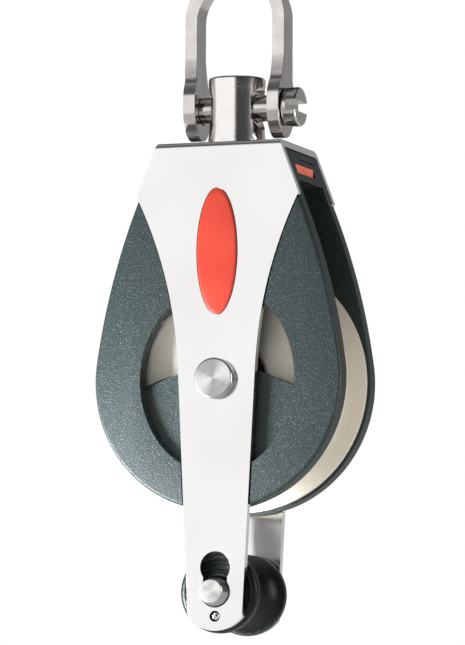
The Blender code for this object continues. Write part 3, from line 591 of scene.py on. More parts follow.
def skin(name, loops):
    """A solid through loops of points that match one to one, closed at both ends."""
    bm = bmesh.new()
    loops = [[bm.verts.new(point) for point in loop] for loop in loops]
    count = len(loops[0])
    for first, second in zip(loops, loops[1:]):
        for i in range(count):
            j = (i + 1) % count
            bm.faces.new((first[i], first[j], second[j], second[i]))
    bm.faces.new(loops[0])
    bm.faces.new(loops[-1])
    return as_object(name, bm)


def block(name, x, y, z):
    """A box from its three spans."""
    return prism(name, [(x[0], z[0]), (x[1], z[0]), (x[1], z[1]), (x[0], z[1])], "Y", *y)


def rod(name, radius, start_at, end_at, steps=96):
    """A cylinder between two points."""
    start_at, end_at = Vector(start_at), Vector(end_at)
    length = (end_at - start_at).length
    return turned(name, [(0, 0), (radius, 0), (radius, length), (0, length)],
                  (end_at - start_at).normalized(), start_at, steps)


def bake(piece):
    """Applies a piece's modifiers to its mesh."""
    depsgraph = bpy.context.evaluated_depsgraph_get()
    mesh = bpy.data.meshes.new_from_object(piece.evaluated_get(depsgraph))
    piece.modifiers.clear()
    piece.data = mesh
    return piece


def carve(piece, *others, operation="DIFFERENCE"):
    """Cuts the others out of a piece, or does another Boolean with them."""
    for other in others:
        step = piece.modifiers.new("carve", "BOOLEAN")
        step.operation, step.object, step.solver = operation, other, "EXACT"
    bpy.context.view_layer.update()
    bake(piece)
    for other in others:
        bpy.data.objects.remove(other, do_unlink=True)
    return piece


def soften(piece, width, segments=3, angle=38):
    """Rounds a piece's sharp edges and keeps its flat faces flat in the shading."""
    piece.data.shade_smooth()
    piece.data.set_sharp_from_angle(angle=math.radians(angle))
    step = piece.modifiers.new("soften", "BEVEL")
    step.width, step.segments = width * MM, segments
    step.limit_method, step.angle_limit = "ANGLE", math.radians(angle)
    step.use_clamp_overlap = True
    step.harden_normals = True
    return bake(piece)


def settle(piece, material, *nodes, smooth=32):
    """Gives a piece its finish and puts it in the place of its engineering nodes."""
    mesh = piece.data
    mesh.materials.clear()
    mesh.materials.append(material)
    for face in mesh.polygons:
        face.material_index = 0
    if not mesh.has_custom_normals:
        mesh.shade_smooth()
        mesh.set_sharp_from_angle(angle=math.radians(smooth))
    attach(piece, BODY_OF[nodes[0]])
    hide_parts(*nodes)
    return piece


def arc(centre, radius, start_at, end_at, count):
    """Points on an arc, angles in degrees."""
    turns = [math.radians(start_at + (end_at - start_at) * i / count) for i in range(count + 1)]
    return [(centre[0] + radius * math.cos(a), centre[1] + radius * math.sin(a)) for a in turns]


def rounded(points, radius, count=5):
    """A profile with its inner corners rounded; radius may be a list with one per corner."""
    made = [points[0]]
    for i in range(1, len(points) - 1):
        r = radius[i - 1] if isinstance(radius, (list, tuple)) else radius
        here = Vector(points[i])
        back, ahead = Vector(points[i - 1]) - here, Vector(points[i + 1]) - here
        if r <= 0 or back.length < 1e-6 or ahead.length < 1e-6:
            made.append(points[i])
            continue
        half = back.angle(ahead) / 2
        reach = min(r / math.tan(half), 0.49 * back.length, 0.49 * ahead.length)
        first, last = here + back.normalized() * reach, here + ahead.normalized() * reach
        for k in range(count + 1):
            t = k / count
            made.append(tuple(first * (1 - t) ** 2 + here * 2 * t * (1 - t) + last * t ** 2))
    return made + [points[-1]]


def both_sides(right_side):
    """Closes an outline whose right side runs from bottom to top."""
    return right_side + [(-x, z) for x, z in reversed(right_side) if x > 1e-6]


def tube(inner, outer, low_y, high_y, radius):
    """A ring's section, begun at the middle of its bore so that all four corners round."""
    middle_y = (low_y + high_y) / 2
    return rounded([(inner, middle_y), (inner, low_y), (outer, low_y), (outer, high_y),
                    (inner, high_y), (inner, middle_y)], radius, 3)[:-1]


def ellipse(a, b, centre_z, count):
    """An upright ellipse about the middle plane."""
    return [(a * math.cos(t), centre_z + b * math.sin(t))
            for t in [2 * math.pi * i / count for i in range(count)]]


# %% [markdown]
# ## Shackle and swivel
#
# The bow is a flat bar bent to a U whose legs widen into oval eyes. Seen from the side it is
# one outline, seen from the front another, and the bow is what the two prisms share.

# %% Shackle bow
BOW_LOW, BOW_HIGH = low("shackle_bow"), high("shackle_bow")
BOW_MID_X = (BOW_LOW[0] + BOW_HIGH[0]) / 2
BOW_T = 3.7
BOW_INNER_R = (BOW_HIGH[0] - BOW_LOW[0]) / 2 - BOW_T
EYE_DRAW_IN = 0.6            # each eye sits this far inside its leg
EYE_GAP = BOW_INNER_R - EYE_DRAW_IN
KNEE_FROM, KNEE_RISE = 2, 14  # above the pin
EYE_HALF_W = BOW_HIGH[1]
EYE_DROP = PIN_Z - BOW_LOW[2]
LEG_HALF_W = 3.75
# The flare in side view: share of the eye's extra width, and height above the pin.
FLARE = [(1.0, 0.0), (1.0, 3.2), (0.9, 5.0), (0.62, 6.9), (0.36, 8.3), (0.22, 10.6),
         (0.09, 13.4), (0.0, 16.0), (0.0, 18.0)]
PIN_R = 3.9
BOW_EDGE = 0.7               # round along the forging's edges


def bow_front():
    """The bow seen from the front."""
    crown = (BOW_MID_X, -BOW_INNER_R)
    points = []
    for reach, out in ((BOW_T, 1), (0, -1)):
        right = [(BOW_MID_X + EYE_GAP + reach, PIN_Z - EYE_DROP - 1)]
        for i in range(9):
            share = i / 8
            ease = share * share * (3 - 2 * share)
            right.append((BOW_MID_X + EYE_GAP + EYE_DRAW_IN * ease + reach,
                          PIN_Z + KNEE_FROM + KNEE_RISE * share))
        left = [(2 * BOW_MID_X - x, z) for x, z in reversed(right)]
        points += (right + arc(crown, BOW_INNER_R + reach, 0, 180, 64) + left)[::out]
    return points


def through(points, steps):
    """A smooth curve through all points but the first and last (Catmull and Rom's)."""
    curve = []
    for a, b, c, d in zip(points, points[1:], points[2:], points[3:]):
        for i in range(steps):
            t = i / steps
            curve.append(tuple(
                q + t / 2 * (r - p + t * (2 * p - 5 * q + 4 * r - s + t * (3 * q - p - 3 * r + s)))
                for p, q, r, s in zip(a, b, c, d)))
    return curve + [points[-2]]


def bow_side():
    """The bow seen from the side."""
    right = [(EYE_HALF_W * math.cos(a), PIN_Z + EYE_DROP * math.sin(a))
             for a in [math.radians(-90 + 90 * i / 24) for i in range(25)]]
    for share, rise in through(FLARE, 5):
        right.append((LEG_HALF_W + (EYE_HALF_W - LEG_HALF_W) * share, PIN_Z + rise))
    return both_sides(right + [(LEG_HALF_W, 10)])


bow = prism("bow", bow_front(), "Y", -EYE_HALF_W - 1, EYE_HALF_W + 1)
carve(bow, prism("bow_side", bow_side(), "X", -60, 60), operation="INTERSECT")
carve(bow, rod("bow_hole", PIN_R + GAP, (-30, 0, PIN_Z), (30, 0, PIN_Z)))
soften(bow, BOW_EDGE, 5)
settle(bow, FORGED, "shackle_bow")
print("bow:", len(bow.data.polygons), "faces")

# %% Slotted pin, swivel post and stud
PIN_LOW, PIN_HIGH = low("shackle_pin"), high("shackle_pin")
PIN_HEAD_R = PIN_HIGH[1]
PIN_HEAD_T = 4.4
SLOT_DEPTH, SLOT_HALF = 3.0, 1.6
POST_LOW, POST_HIGH = low("swivel_post"), high("swivel_post")
POST_R = POST_HIGH[0]

head_x = PIN_HIGH[0] - PIN_HEAD_T
profile = rounded([(0, PIN_LOW[0]), (PIN_R, PIN_LOW[0]), (PIN_R, head_x), (PIN_HEAD_R, head_x),
                   (PIN_HEAD_R, PIN_HIGH[0]), (0, PIN_HIGH[0])], [0.5, 0, 0.35, 0.8])
pin = turned("pin", profile, (1, 0, 0), (0, 0, PIN_Z))
carve(pin, block("slot", (PIN_HIGH[0] - SLOT_DEPTH, PIN_HIGH[0] + 1), (-9, 9),
                 (PIN_Z - SLOT_HALF, PIN_Z + SLOT_HALF)))
soften(pin, 0.25, 3, 50)
settle(pin, FORGED, "shackle_pin")

WAIST_DEPTH = 0.25           # the post is this much thinner at its middle
POCKET_R, POCKET_FROM = 6.3, 6.2
waist = POST_R - WAIST_DEPTH
side = [(0, POST_LOW[2]), (POST_R, POST_LOW[2]), (POST_R, POST_LOW[2] + 1.6)]
for i in range(13):
    share = i / 12
    rise = POST_LOW[2] + 2.2 + (POST_HIGH[2] - POST_LOW[2] - 4.0) * share
    side.append((waist + WAIST_DEPTH * (2 * share - 1) ** 4, rise))
side += [(POST_R, POST_HIGH[2] - 1.6), (POST_R, POST_HIGH[2]), (0, POST_HIGH[2])]
post = turned("post", rounded(side, [0.4] + [0] * 15 + [0.9]), (0, 0, 1), (0, 0, 0), 192)
carve(post, rod("hole", PIN_R + GAP, (-12, 0, PIN_Z), (12, 0, PIN_Z)),
      rod("pocket_right", POCKET_R, (POCKET_FROM, 0, PIN_Z), (12, 0, PIN_Z)),
      rod("pocket_left", POCKET_R, (-POCKET_FROM, 0, PIN_Z), (-12, 0, PIN_Z)),
      rod("bore", STUD_HOLE_R, (0, 0, POST_LOW[2] - 1), (0, 0, high("swivel_stud")[2] + GAP)))
soften(post, 0.3, 3, 45)
settle(post, TURNED, "swivel_post")
print("pin and post made")

# %% [markdown]
# ## Strap
#
# One strip of steel is pressed to shape and folded over the head. Its outline seen from the
# front and its folded section seen from the side are two prisms, and the strap is what they
# share. The bevel gives the thin bright line that sheet metal has along a polished edge.

# %% Strap outline
STRAP_FOOT = low("strap")[2]
BADGE_MID = middle("front_badge")
BADGE_HALF_X = (high("front_badge")[0] - low("front_badge")[0]) / 2 + GAP
BADGE_HALF_Z = (high("front_badge")[2] - low("front_badge")[2]) / 2 + GAP
SHOULDER_HALF = high("strap")[0]
TOP_HALF = 19.0
SHOULDER_Z = 53.6
WAIST_HALF, WAIST_Z = 11.95, 3.6
FOOT_HALF, FOOT_Z, FOOT_R = 8.35, -69.1, 10.9
BEND_R, INNER_BEND_R = 2.0, 0.8
CORNER_R = 1.2               # at the shoulder
BECKET_HOLE_R = 4.6
KEYHOLE_RISE, KEYHOLE_NECK_HALF = 7.05, 3.7
BALL_DROP = 7.1              # the ball's hole under the becket pin


def strap_outline(grow=0.0):
    """Strap seen from the front: round foot, straight taper, concave shoulder, square head."""
    foot_angle = math.degrees(math.asin(FOOT_HALF / FOOT_R))
    foot_centre = (0, FOOT_Z + FOOT_R * math.cos(math.radians(foot_angle)))
    side = arc(foot_centre, FOOT_R, -90, -90 + foot_angle, 24)
    lean = math.atan2(WAIST_HALF - FOOT_HALF, WAIST_Z - FOOT_Z)
    chord = math.atan2(SHOULDER_HALF - WAIST_HALF, SHOULDER_Z - WAIST_Z)
    steep = 2 * chord - lean
    radius = (SHOULDER_Z - WAIST_Z) / (math.sin(steep) - math.sin(lean))
    flare = []
    for i in range(49):
        angle = lean + (steep - lean) * i / 48
        flare.append((WAIST_HALF + radius * (math.cos(lean) - math.cos(angle)),
                      WAIST_Z + radius * (math.sin(angle) - math.sin(lean))))
    top = (TOP_HALF, BRIDGE_TOP - AXLE_Z)
    side += flare[:-1] + rounded([flare[-2], flare[-1], top], CORNER_R, 8)[1:]
    middle_z = (top[1] + FOOT_Z) / 2
    return both_sides([(x + grow if x > 0 else x, AXLE_Z + z + math.copysign(grow, z - middle_z))
                       for x, z in side])


def folded_section():
    """The folded strip seen from the side: an outer and an inner round at each bend."""
    foot = STRAP_FOOT - 2
    outer = rounded([(-STRAP_OUT, foot), (-STRAP_OUT, BRIDGE_TOP), (STRAP_OUT, BRIDGE_TOP),
                     (STRAP_OUT, foot)], BEND_R, 12)
    under = BRIDGE_TOP - STRAP_T
    inner = rounded([(STRAP_IN, foot), (STRAP_IN, under), (-STRAP_IN, under),
                     (-STRAP_IN, foot)], INNER_BEND_R, 6)
    return outer + inner


def keyhole():
    """Two round seats joined by a neck, so that the becket pin can sit in either."""
    radius = BECKET_HOLE_R
    drop = math.degrees(math.asin(KEYHOLE_NECK_HALF / radius))
    return (arc((0, BECKET_Z), radius, 90 - drop, -270 + drop, 64)
            + arc((0, BECKET_Z + KEYHOLE_RISE), radius, -90 - drop, -450 + drop, 64))


# %% Strap
POCKET_DEPTH = 1.0           # the seat pressed in for each badge
strap = prism("folded_strap", folded_section(), "X", -40, 40)
carve(strap, prism("outline", strap_outline(), "Y", -30, 30), operation="INTERSECT")
carve(strap, prism("keyhole", keyhole(), "Y", -30, 30),
      rod("axle_hole", AXLE_HOLE_R, (0, -30, AXLE_Z), (0, 30, AXLE_Z)),
      rod("bridge_hole", STUD_HOLE_R, (0, 0, BRIDGE_TOP - 9), (0, 0, BRIDGE_TOP + 4)),
      rod("ball_hole", 1.6, (0, -30, BECKET_Z - BALL_DROP), (0, 30, BECKET_Z - BALL_DROP), 48))
pocket = ellipse(BADGE_HALF_X, BADGE_HALF_Z, BADGE_MID[2], 128)
carve(strap, prism("front_pocket", pocket, "Y", -30, -STRAP_OUT + POCKET_DEPTH),
      prism("rear_pocket", pocket, "Y", STRAP_OUT - POCKET_DEPTH, 30))
soften(strap, 0.22, 3, 50)
settle(strap, STEEL, "strap")
print("strap:", len(strap.data.polygons), "faces")

# %% Badges
BADGE_SIDES = 128


def badge(name, node, side):
    """Satin oval with a soft rim and a low dome."""
    rings = [(1.0, -0.7), (1.0, 0.12), (0.985, 0.2), (0.955, 0.26)]
    rings += [(0.955 * math.cos(a), 0.26 + 0.24 * math.sin(a))
              for a in [math.pi / 2 * i / 16 for i in range(1, 16)]]
    loops = []
    for share, out in rings:
        points = ellipse((BADGE_HALF_X - GAP) * share, (BADGE_HALF_Z - GAP) * share,
                         BADGE_MID[2], BADGE_SIDES)
        loops.append([(x, side * (STRAP_OUT + out), z) for x, z in points])
    return settle(skin(name, loops), RED, node)


badge("front_oval", "front_badge", -1)
badge("rear_oval", "rear_badge", 1)
print("badges made")

# %% [markdown]
# ## Cheeks
#
# Both cheeks are one moulding, the rear one turned half round. A rounded teardrop plate
# carries a recess for the strap, a window that is open above and closed by a sunk panel
# below, and at the top half of the head block, which laps over its twin.

# %% Cheek outline and head
CHEEK_R = 38.15
HEAD_TOP = high("front_cheek")[2]
HEAD_BOTTOM = BRIDGE_TOP - STRAP_T - 9.4
LAP_DEPTH = 2.4              # of the lap joint between the two mouldings
LAP_Z = HEAD_TOP - LAP_DEPTH
LAP_SHIFT = 4.3              # the upper lap's seam, from the middle
SLIDE_LOW, SLIDE_HIGH = low("swivel_lock_slide"), high("swivel_lock_slide")
RECESS_Y = STRAP_IN - GAP
PANEL_Y = CHEEK_OUT - 2.9
PANEL_SLOPE, PANEL_PEAK = 22, 7.1   # degrees, and height over the axle
WINDOW_A, WINDOW_B = 23.9, 27.5
WINDOW_DRAFT = 0.7           # the sunk panel's wall leans in this much
RECESS_GAP = 0.5             # round the strap's edge
SIDE_R, SIDE_FROM, SIDE_TIP = 200.0, 8, 52.6
RIM_ROUND = 1.0


def cheek_outline(grow=0.0):
    """Cheek seen from the front: round below, long side arcs, then the head's slopes."""
    side = arc((0, 0), CHEEK_R + grow, -90, SIDE_FROM, 72)
    turn = math.radians(SIDE_FROM)
    reach = CHEEK_R - SIDE_R
    centre = (reach * math.cos(turn), reach * math.sin(turn))
    last = math.degrees(math.asin((SIDE_TIP - centre[1]) / SIDE_R))
    side += arc(centre, SIDE_R + grow, SIDE_FROM, last, 32)[1:]
    top = HEAD_TOP - AXLE_Z
    share = (top - SHOULDER_Z) / (BRIDGE_TOP - AXLE_Z - SHOULDER_Z)
    side.append((SHOULDER_HALF + (TOP_HALF - SHOULDER_HALF) * share - 0.1 + grow, top + grow))
    return both_sides([(x, AXLE_Z + z) for x, z in side])


def rounded_plate():
    """The teardrop with a broad round along its outer rim."""
    levels = [(-RIM_ROUND * (1 - math.sin(a)), -CHEEK_OUT + RIM_ROUND * (1 - math.cos(a)))
              for a in [math.pi / 2 * i / 6 for i in range(7)]]
    return skin("plate", [[(x, y, z) for x, z in cheek_outline(grow)]
                          for grow, y in levels + [(0, CHEEK_OUT + 2)]])


# %% Cheeks
def cheek(name, node, half_turn):
    """One cheek, turned half round the Z axis where half_turn says so."""
    mid_y = -(CHEEK_OUT + CHEEK_IN) / 2
    tall = HEAD_TOP + 3
    body = block(name, (-50, 50), (-CHEEK_OUT - 1, -CHEEK_IN), (AXLE_Z - CHEEK_R - 5, tall))
    carve(body, block("short_lap", (-GAP, 45), (mid_y, -LAP_SHIFT - GAP / 2),
                      (LAP_Z + GAP, tall - 1)),
          block("long_lap", (-44, -GAP / 2), (mid_y + 0.1, LAP_SHIFT - GAP / 2),
                (LAP_Z + GAP, tall - 1)),
          block("tongue", (GAP / 2, 44), (mid_y + 0.4, CHEEK_IN - GAP), (HEAD_BOTTOM, LAP_Z)),
          block("tie", (GAP, 43), (mid_y + 0.8, -LAP_SHIFT - GAP), (HEAD_BOTTOM + 1, LAP_Z + 1)),
          operation="UNION")
    carve(body, rounded_plate(), operation="INTERSECT")
    far = -CHEEK_OUT - 5
    drop = math.tan(math.radians(PANEL_SLOPE))
    peak = AXLE_Z + PANEL_PEAK
    below = [(-60, AXLE_Z - 60), (60, AXLE_Z - 60), (60, peak - 60 * drop), (0, peak),
             (-60, peak - 60 * drop)]
    wide = ellipse(WINDOW_A, WINDOW_B, AXLE_Z, 144)
    tight = ellipse(WINDOW_A - WINDOW_DRAFT, WINDOW_B - WINDOW_DRAFT, AXLE_Z, 144)
    opening = prism("window", wide, "Y", far, 0)
    carve(opening, prism("spar", strap_outline(-1.0), "Y", far - 1, 1),
          prism("panel", below, "Y", far - 2, 2))
    sunk = prism("sunk", wide, "Y", -CHEEK_OUT, -PANEL_Y, tight)
    carve(sunk, prism("above", wide, "Y", far, -CHEEK_OUT), operation="UNION")
    carve(sunk, prism("panel", below, "Y", far - 2, 2), operation="INTERSECT")
    recess = prism("recess", strap_outline(RECESS_GAP), "Y", far, -RECESS_Y)
    bore = rod("bore", AXLE_HOLE_R, (0, far, AXLE_Z), (0, 0, AXLE_Z))
    carve(body, recess, opening, sunk, bore)
    if half_turn:
        body.data.transform(Matrix.Rotation(math.pi, 4, "Z"))
    stud_room = rod("stud_room", 8.3, (0, 0, HEAD_BOTTOM - 1), (0, 0, HEAD_TOP + 1))
    slide_room = block("slide_room", (SLIDE_LOW[0] - 3 - GAP, 30),
                       (SLIDE_LOW[1] - GAP, SLIDE_HIGH[1] + GAP),
                       (SLIDE_LOW[2] - GAP, SLIDE_HIGH[2] + GAP))
    carve(body, stud_room, slide_room)
    soften(body, 0.3, 3, 42)
    settle(body, NYLON, node)
    print(name, len(body.data.polygons), "faces")


cheek("front_moulding", "front_cheek", False)
cheek("rear_moulding", "rear_cheek", True)

# %% Lock slide
KEY_ROUND_R, KEY_HALF, KEY_END = 6.5, 4.95, 8.05
NAIL_R, NAIL_OUT, NAIL_DEPTH = 2.2, 1.2, 1.1
slide_mid_y = (SLIDE_LOW[1] + SLIDE_HIGH[1]) / 2
slide = block("lock_plate", (SLIDE_LOW[0], SLIDE_HIGH[0]), (SLIDE_LOW[1], SLIDE_HIGH[1]),
              (SLIDE_LOW[2], SLIDE_HIGH[2]))
carve(slide, rod("round", KEY_ROUND_R, (0, 0, SLIDE_LOW[2] - 1), (0, 0, SLIDE_HIGH[2] + 1)),
      block("narrow", (0, KEY_END), (-KEY_HALF, KEY_HALF),
            (SLIDE_LOW[2] - 1, SLIDE_HIGH[2] + 1)),
      rod("nail", NAIL_R, (SLIDE_HIGH[0] + NAIL_OUT, slide_mid_y, SLIDE_LOW[2] - 1),
          (SLIDE_HIGH[0] + NAIL_OUT, slide_mid_y, SLIDE_LOW[2] + NAIL_DEPTH)))
soften(slide, 0.3, 3, 40)
# The lock's red is painted lighter, as painted light for the shade it stands in.
settle(slide, LOCK_RED_PAINTED_LIGHT, "swivel_lock_slide")
print("lock slide made")

# %% [markdown]
# ## Sheave, axle and becket
#
# These are lathe work: each is a profile turned about its own axis, with small rounds at the
# corners, and every ring of balls or rollers is a Geometry Nodes array.

# %% Sheave
TRACK_IN, TRACK_OUT, TRACK_Y = 26.35, 30.85, 7.6     # groove of the side balls
DISH_IN, DISH_DEEP, DISH_OUT = 12.6, 19.0, 25.55     # radii of the dished face
DISH_HALF, DISH_RISE = 7.3, 0.9
HUB_R, HUB_HALF, HUB_CHAMFER = 12.5, 7.9, 0.4
GROOVE_CENTRE_R, GROOVE_R = 35.0, 7.4
right = rounded([(SHEAVE_R, 8.2), (SHEAVE_R, SHEAVE_HALF), (TRACK_OUT, SHEAVE_HALF),
                 (TRACK_OUT, TRACK_Y), (TRACK_IN, TRACK_Y), (TRACK_IN, 8.2)],
                [0.6, 0.4, 0.2, 0.2], 4)
for i in range(28):
    radius = DISH_IN + (DISH_OUT - DISH_IN) * (1 - i / 28)
    share = (radius - DISH_DEEP) / (DISH_OUT - DISH_DEEP)
    right.append((radius, DISH_HALF + DISH_RISE * share ** 2))
right += [(HUB_R, HUB_HALF), (HUB_R - HUB_CHAMFER, HUB_HALF - HUB_CHAMFER)]
left = [(r, -y) for r, y in reversed(right)]
groove = [(GROOVE_CENTRE_R + GROOVE_R * math.sin(a), GROOVE_R * math.cos(a))
          for a in [math.radians(-165 + 150 * i / 40) for i in range(41)]]
sheave = turned("turned_sheave", right + left + groove, (0, 1, 0), (0, 0, AXLE_Z), 256)
settle(sheave, ALUMINIUM, "sheave", smooth=38)
print("sheave:", len(sheave.data.polygons), "faces")

# %% Axle, cap and becket pin
AXLE_TIP = -low("axle")[1]
AXLE_R, STUB_R, STUB_L = 5.0, 3.0, 1.3
BOSS_R = high("axle")[0]
RACE_R = 8.3
BECKET_PIN_R, BECKET_TIP_R = 4.3, 3.5


def lathe_y(name, profile, z, material, *nodes, steps=160, smooth=34):
    """Turns a profile about the Y axis and settles it."""
    return settle(turned(name, profile, (0, 1, 0), (0, 0, z), steps), material, *nodes,
                  smooth=smooth)


base = STRAP_OUT + GAP
stub = base + STUB_L
step_y = STRAP_OUT - 0.5
front = [(AXLE_R, -base), (BOSS_R, -base), (BOSS_R, -AXLE_TIP), (0, -AXLE_TIP)]
lathe_y("turned_axle", [(0, stub), (STUB_R, stub), (STUB_R, step_y), (AXLE_R, step_y)]
        + rounded(front, [0.15, 0.65], 6), AXLE_Z, AXLE_STEEL, "axle")
socket_r = STUB_R + GAP
back = [(socket_r, base), (BOSS_R, base), (BOSS_R, AXLE_TIP), (0, AXLE_TIP)]
lathe_y("turned_cap", [(0, stub + GAP), (socket_r, stub + GAP)]
        + rounded(back, [0.15, 0.65], 6), AXLE_Z, AXLE_STEEL, "axle_cap")
race_half = high("inner_race")[1]
lathe_y("ground_race", tube(AXLE_HOLE_R, RACE_R, -race_half, race_half, 0.3), AXLE_Z, FORGED,
        "inner_race")
BECKET_TIP, BECKET_BACK = -low("becket_pin")[1], high("becket_pin")[1]
BECKET_HEAD_R = high("becket_pin")[0]
pin_shape = rounded([(0, -BECKET_TIP), (BECKET_TIP_R, -BECKET_TIP), (BECKET_PIN_R, -base),
                     (BECKET_PIN_R, base), (BECKET_HEAD_R, base),
                     (BECKET_HEAD_R, BECKET_BACK), (0, BECKET_BACK)],
                    [0.45, 0.8, 0, 0.2, 0.7], 6)
lathe_y("turned_becket_pin", pin_shape, BECKET_Z, BECKET_STEEL, "becket_pin")

# %% Becket spool
SPOOL_R = high("becket_spool")[0]
SPOOL_END = high("becket_spool")[1]
SPOOL_ROOT_R, SPOOL_FLANGE, SPOOL_ROUND = 6.6, 3.4, 1.6
SPOOL_BORE_R, SEAL_SEAT_R, SEAL_DEPTH = 4.7, 5.9, 1.4
RING_DEPTH, RING_IN = 0.28, 6.2      # low rings moulded on the ends


def spool_profile():
    """Waisted spool with rounded rims, and low rings moulded on its ends."""
    reach = SPOOL_END - SPOOL_FLANGE
    throat = [(SPOOL_ROOT_R + (SPOOL_R - SPOOL_ROOT_R) * (1 - math.cos(math.pi / 2 * i / 20)),
               reach * math.sin(math.pi / 2 * i / 20)) for i in range(-20, 21)]
    rim = [(SPOOL_R - SPOOL_ROUND * (1 - math.cos(math.pi / 2 * i / 8)),
            SPOOL_END - SPOOL_ROUND * (1 - math.sin(math.pi / 2 * i / 8))) for i in range(9)]
    rings = []
    outer = SPOOL_R - 1.9
    for i in range(33):
        wave = math.cos(2 * math.pi * 3 * i / 32)
        rings.append((outer - (outer - RING_IN) * i / 32, SPOOL_END - RING_DEPTH * (1 - wave)))
    end = rim + rings
    front_end = [(r, -y) for r, y in reversed(end)]
    seat = [(SPOOL_BORE_R, SPOOL_END - 0.3), (SPOOL_BORE_R, -SPOOL_END + SEAL_DEPTH),
            (SEAL_SEAT_R, -SPOOL_END + SEAL_DEPTH), (SEAL_SEAT_R, -SPOOL_END + 0.2)]
    return throat + end + seat + front_end


lathe_y("moulded_spool", spool_profile(), BECKET_Z, ACETAL, "becket_spool", steps=128,
        smooth=50)
ring_low, ring_high = low("becket_pin_ring")[1], high("becket_pin_ring")[1]
lathe_y("friction_ring", tube(SPOOL_BORE_R, SPOOL_BORE_R + 1.0, ring_low, ring_high, 0.2),
        BECKET_Z, ACETAL, "becket_pin_ring", steps=64)
print("turned pieces made")

# %% [markdown]
# ## What repeats
#
# Balls and rollers are placed by one Geometry Nodes tree: a circle of points about the axle,
# an instance of one ball or roller on each, realized to a plain mesh.

# %% Ring arrays


def ring_tree(name, element, count, radius, y):
    """Geometry Nodes: element copied on a circle round the axle, first copy straight up."""
    tree = bpy.data.node_groups.new(name, "GeometryNodeTree")
    tree.interface.new_socket("Geometry", in_out="INPUT", socket_type="NodeSocketGeometry")
    turns = tree.interface.new_socket("Count", in_out="INPUT", socket_type="NodeSocketInt")
    pitch = tree.interface.new_socket("Pitch radius", in_out="INPUT",
                                      socket_type="NodeSocketFloat")
    tree.interface.new_socket("Geometry", in_out="OUTPUT", socket_type="NodeSocketGeometry")
    given = add(tree, "NodeGroupInput")
    circle = add(tree, "GeometryNodeMeshCircle", {"Vertices": given.outputs["Count"],
                                                  "Radius": given.outputs["Pitch radius"]})
    stood = add(tree, "GeometryNodeTransform",
                {"Geometry": circle.outputs[0], "Translation": (0, y * MM, AXLE_Z * MM),
                 "Rotation": (math.pi / 2, -math.pi / 2, 0)})
    source = add(tree, "GeometryNodeObjectInfo", {"Object": element})
    copies = add(tree, "GeometryNodeInstanceOnPoints",
                 {"Points": stood.outputs[0], "Instance": source.outputs["Geometry"]})
    real = add(tree, "GeometryNodeRealizeInstances", {0: copies.outputs[0]})
    dressed = add(tree, "GeometryNodeSetMaterial",
                  {"Geometry": real.outputs[0], "Material": element.data.materials[0]})
    add(tree, "NodeGroupOutput", {0: dressed.outputs[0]})
    holder = bpy.data.objects.new(name, bpy.data.meshes.new(name))
    bpy.context.scene.collection.objects.link(holder)
    step = holder.modifiers.new(name, "NODES")
    step.node_group = tree
    step[turns.identifier] = count
    step[pitch.identifier] = radius * MM
    bpy.context.view_layer.update()
    bake(holder)
    bpy.data.objects.remove(element, do_unlink=True)
    return holder


def ball_at_origin(radius, material):
    """One ball, for the rings to copy."""
    bm = bmesh.new()
    bmesh.ops.create_icosphere(bm, subdivisions=4, radius=radius)
    ball = as_object("ball", bm)
    ball.data.materials.append(material)
    return ball


ROLLER_PITCH = (high("bearing_roller_01")[2] + low("bearing_roller_01")[2]) / 2 - AXLE_Z
ROLLER_R, ROLLER_HALF = 1.6, high("bearing_roller_01")[1]
SIDE_BALL_R, BECKET_BALL_R = 1.2, 1.3
rollers = [n for n in frame["nodes"] if n.startswith("bearing_roller_")]
shape = rounded([(0, -ROLLER_HALF), (ROLLER_R, -ROLLER_HALF), (ROLLER_R, ROLLER_HALF),
                 (0, ROLLER_HALF)], 0.3, 4)
roller = turned("roller", shape, (0, 1, 0), (0, 0, 0), 48)
roller.data.materials.append(POLYMER)
settle(ring_tree("roller_row", roller, len(rollers), ROLLER_PITCH, 0), POLYMER, *rollers)
for side_name in ("front", "rear"):
    balls = [n for n in frame["nodes"] if n.startswith(side_name + "_side_ball_")]
    top_ball = middle(side_name + "_side_ball_1")
    row = ring_tree(side_name + "_balls", ball_at_origin(SIDE_BALL_R, SPRING), len(balls),
                    top_ball[2] - AXLE_Z, top_ball[1])
    settle(row, SPRING, *balls)
for node in ("becket_ball_front", "becket_ball_rear"):
    pearl = ball_at_origin(BECKET_BALL_R, FORGED)
    pearl.name = node.replace("becket_ball", "steel_ball")
    place = (0, middle(node)[1] * MM, (BECKET_Z - BALL_DROP) * MM)
    pearl.data.transform(Matrix.Translation(place))
    settle(pearl, FORGED, node)
print("repeated pieces made")

# %% Retainers and swivel pieces


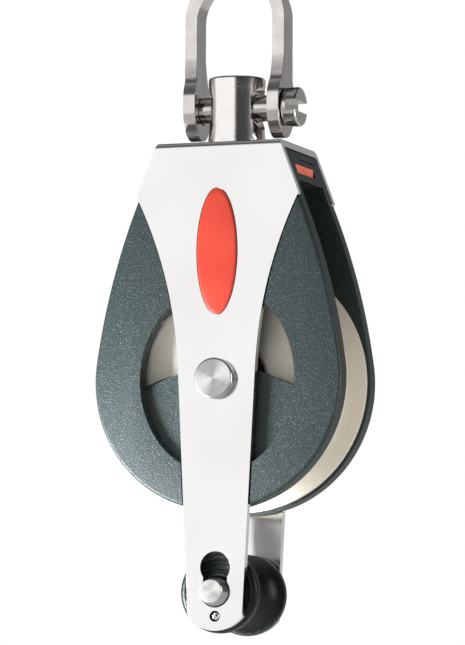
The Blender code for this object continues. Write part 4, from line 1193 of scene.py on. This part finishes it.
def retainer(name, node, inner, outer, half_t, holes, hole_r, pitch):
    """A flat ring round the axle with a row of holes for the side balls."""
    y = middle(node)[1]
    made = turned(name, tube(inner, outer, y - half_t, y + half_t, 0.2), (0, 1, 0),
                  (0, 0, AXLE_Z), 164)
    cutters = []
    for i in range(holes):
        turn = 2 * math.pi * i / holes
        x, z = pitch * math.sin(turn), AXLE_Z + pitch * math.cos(turn)
        cutters.append(rod(f"hole_{i}", hole_r, (x, y - hole_r * 4, z),
                           (x, y + hole_r * 4, z), 40))
    carve(made, *cutters)
    settle(made, POLYMER, node)


BALL_PITCH_R = 28.6
for side_name in ("front", "rear"):
    retainer(side_name + "_retainer", side_name + "_ball_ring", BALL_PITCH_R - 1.95,
             BALL_PITCH_R + 1.95, 0.6, 9, SIDE_BALL_R + GAP, BALL_PITCH_R)
STUD_TOP, STUD_FOOT = high("swivel_stud")[2], low("swivel_stud")[2]
WASHER_LOW, WASHER_T = low("swivel_washer")[2], 0.8
STUD_R, FLANGE_R, SQUARE_CORNER_R, SQUARE_HALF = 5.0, 7.7, 6.2, 4.75
flange_top = WASHER_LOW - GAP
flange_low = flange_top - 2.5
stud_side = rounded([(0, STUD_FOOT), (SQUARE_CORNER_R, STUD_FOOT),
                     (SQUARE_CORNER_R, flange_low), (FLANGE_R, flange_low),
                     (FLANGE_R, flange_top), (STUD_R, flange_top), (STUD_R, STUD_TOP),
                     (0, STUD_TOP)],
                    [0.4, 0, 0.2, 0.2, 0, 0.5], 4)
stud = turned("stud", stud_side, (0, 0, 1), (0, 0, 0), 128)
beyond, across = (SQUARE_HALF, 9), (-9, 9)
before = (-9, -SQUARE_HALF)
carve(stud, *[block(f"flat_{i}", *spans, (STUD_FOOT - 1, flange_low))
              for i, spans in enumerate([(beyond, across), (before, across),
                                         (across, beyond), (across, before)])])
settle(stud, FORGED, "swivel_stud")
washer_side = tube(STUD_HOLE_R, FLANGE_R, WASHER_LOW, WASHER_LOW + WASHER_T, 0.15)
settle(turned("washer", washer_side, (0, 0, 1), (0, 0, 0), 96), POLYMER, "swivel_washer")
print("retainers, stud and washer made")
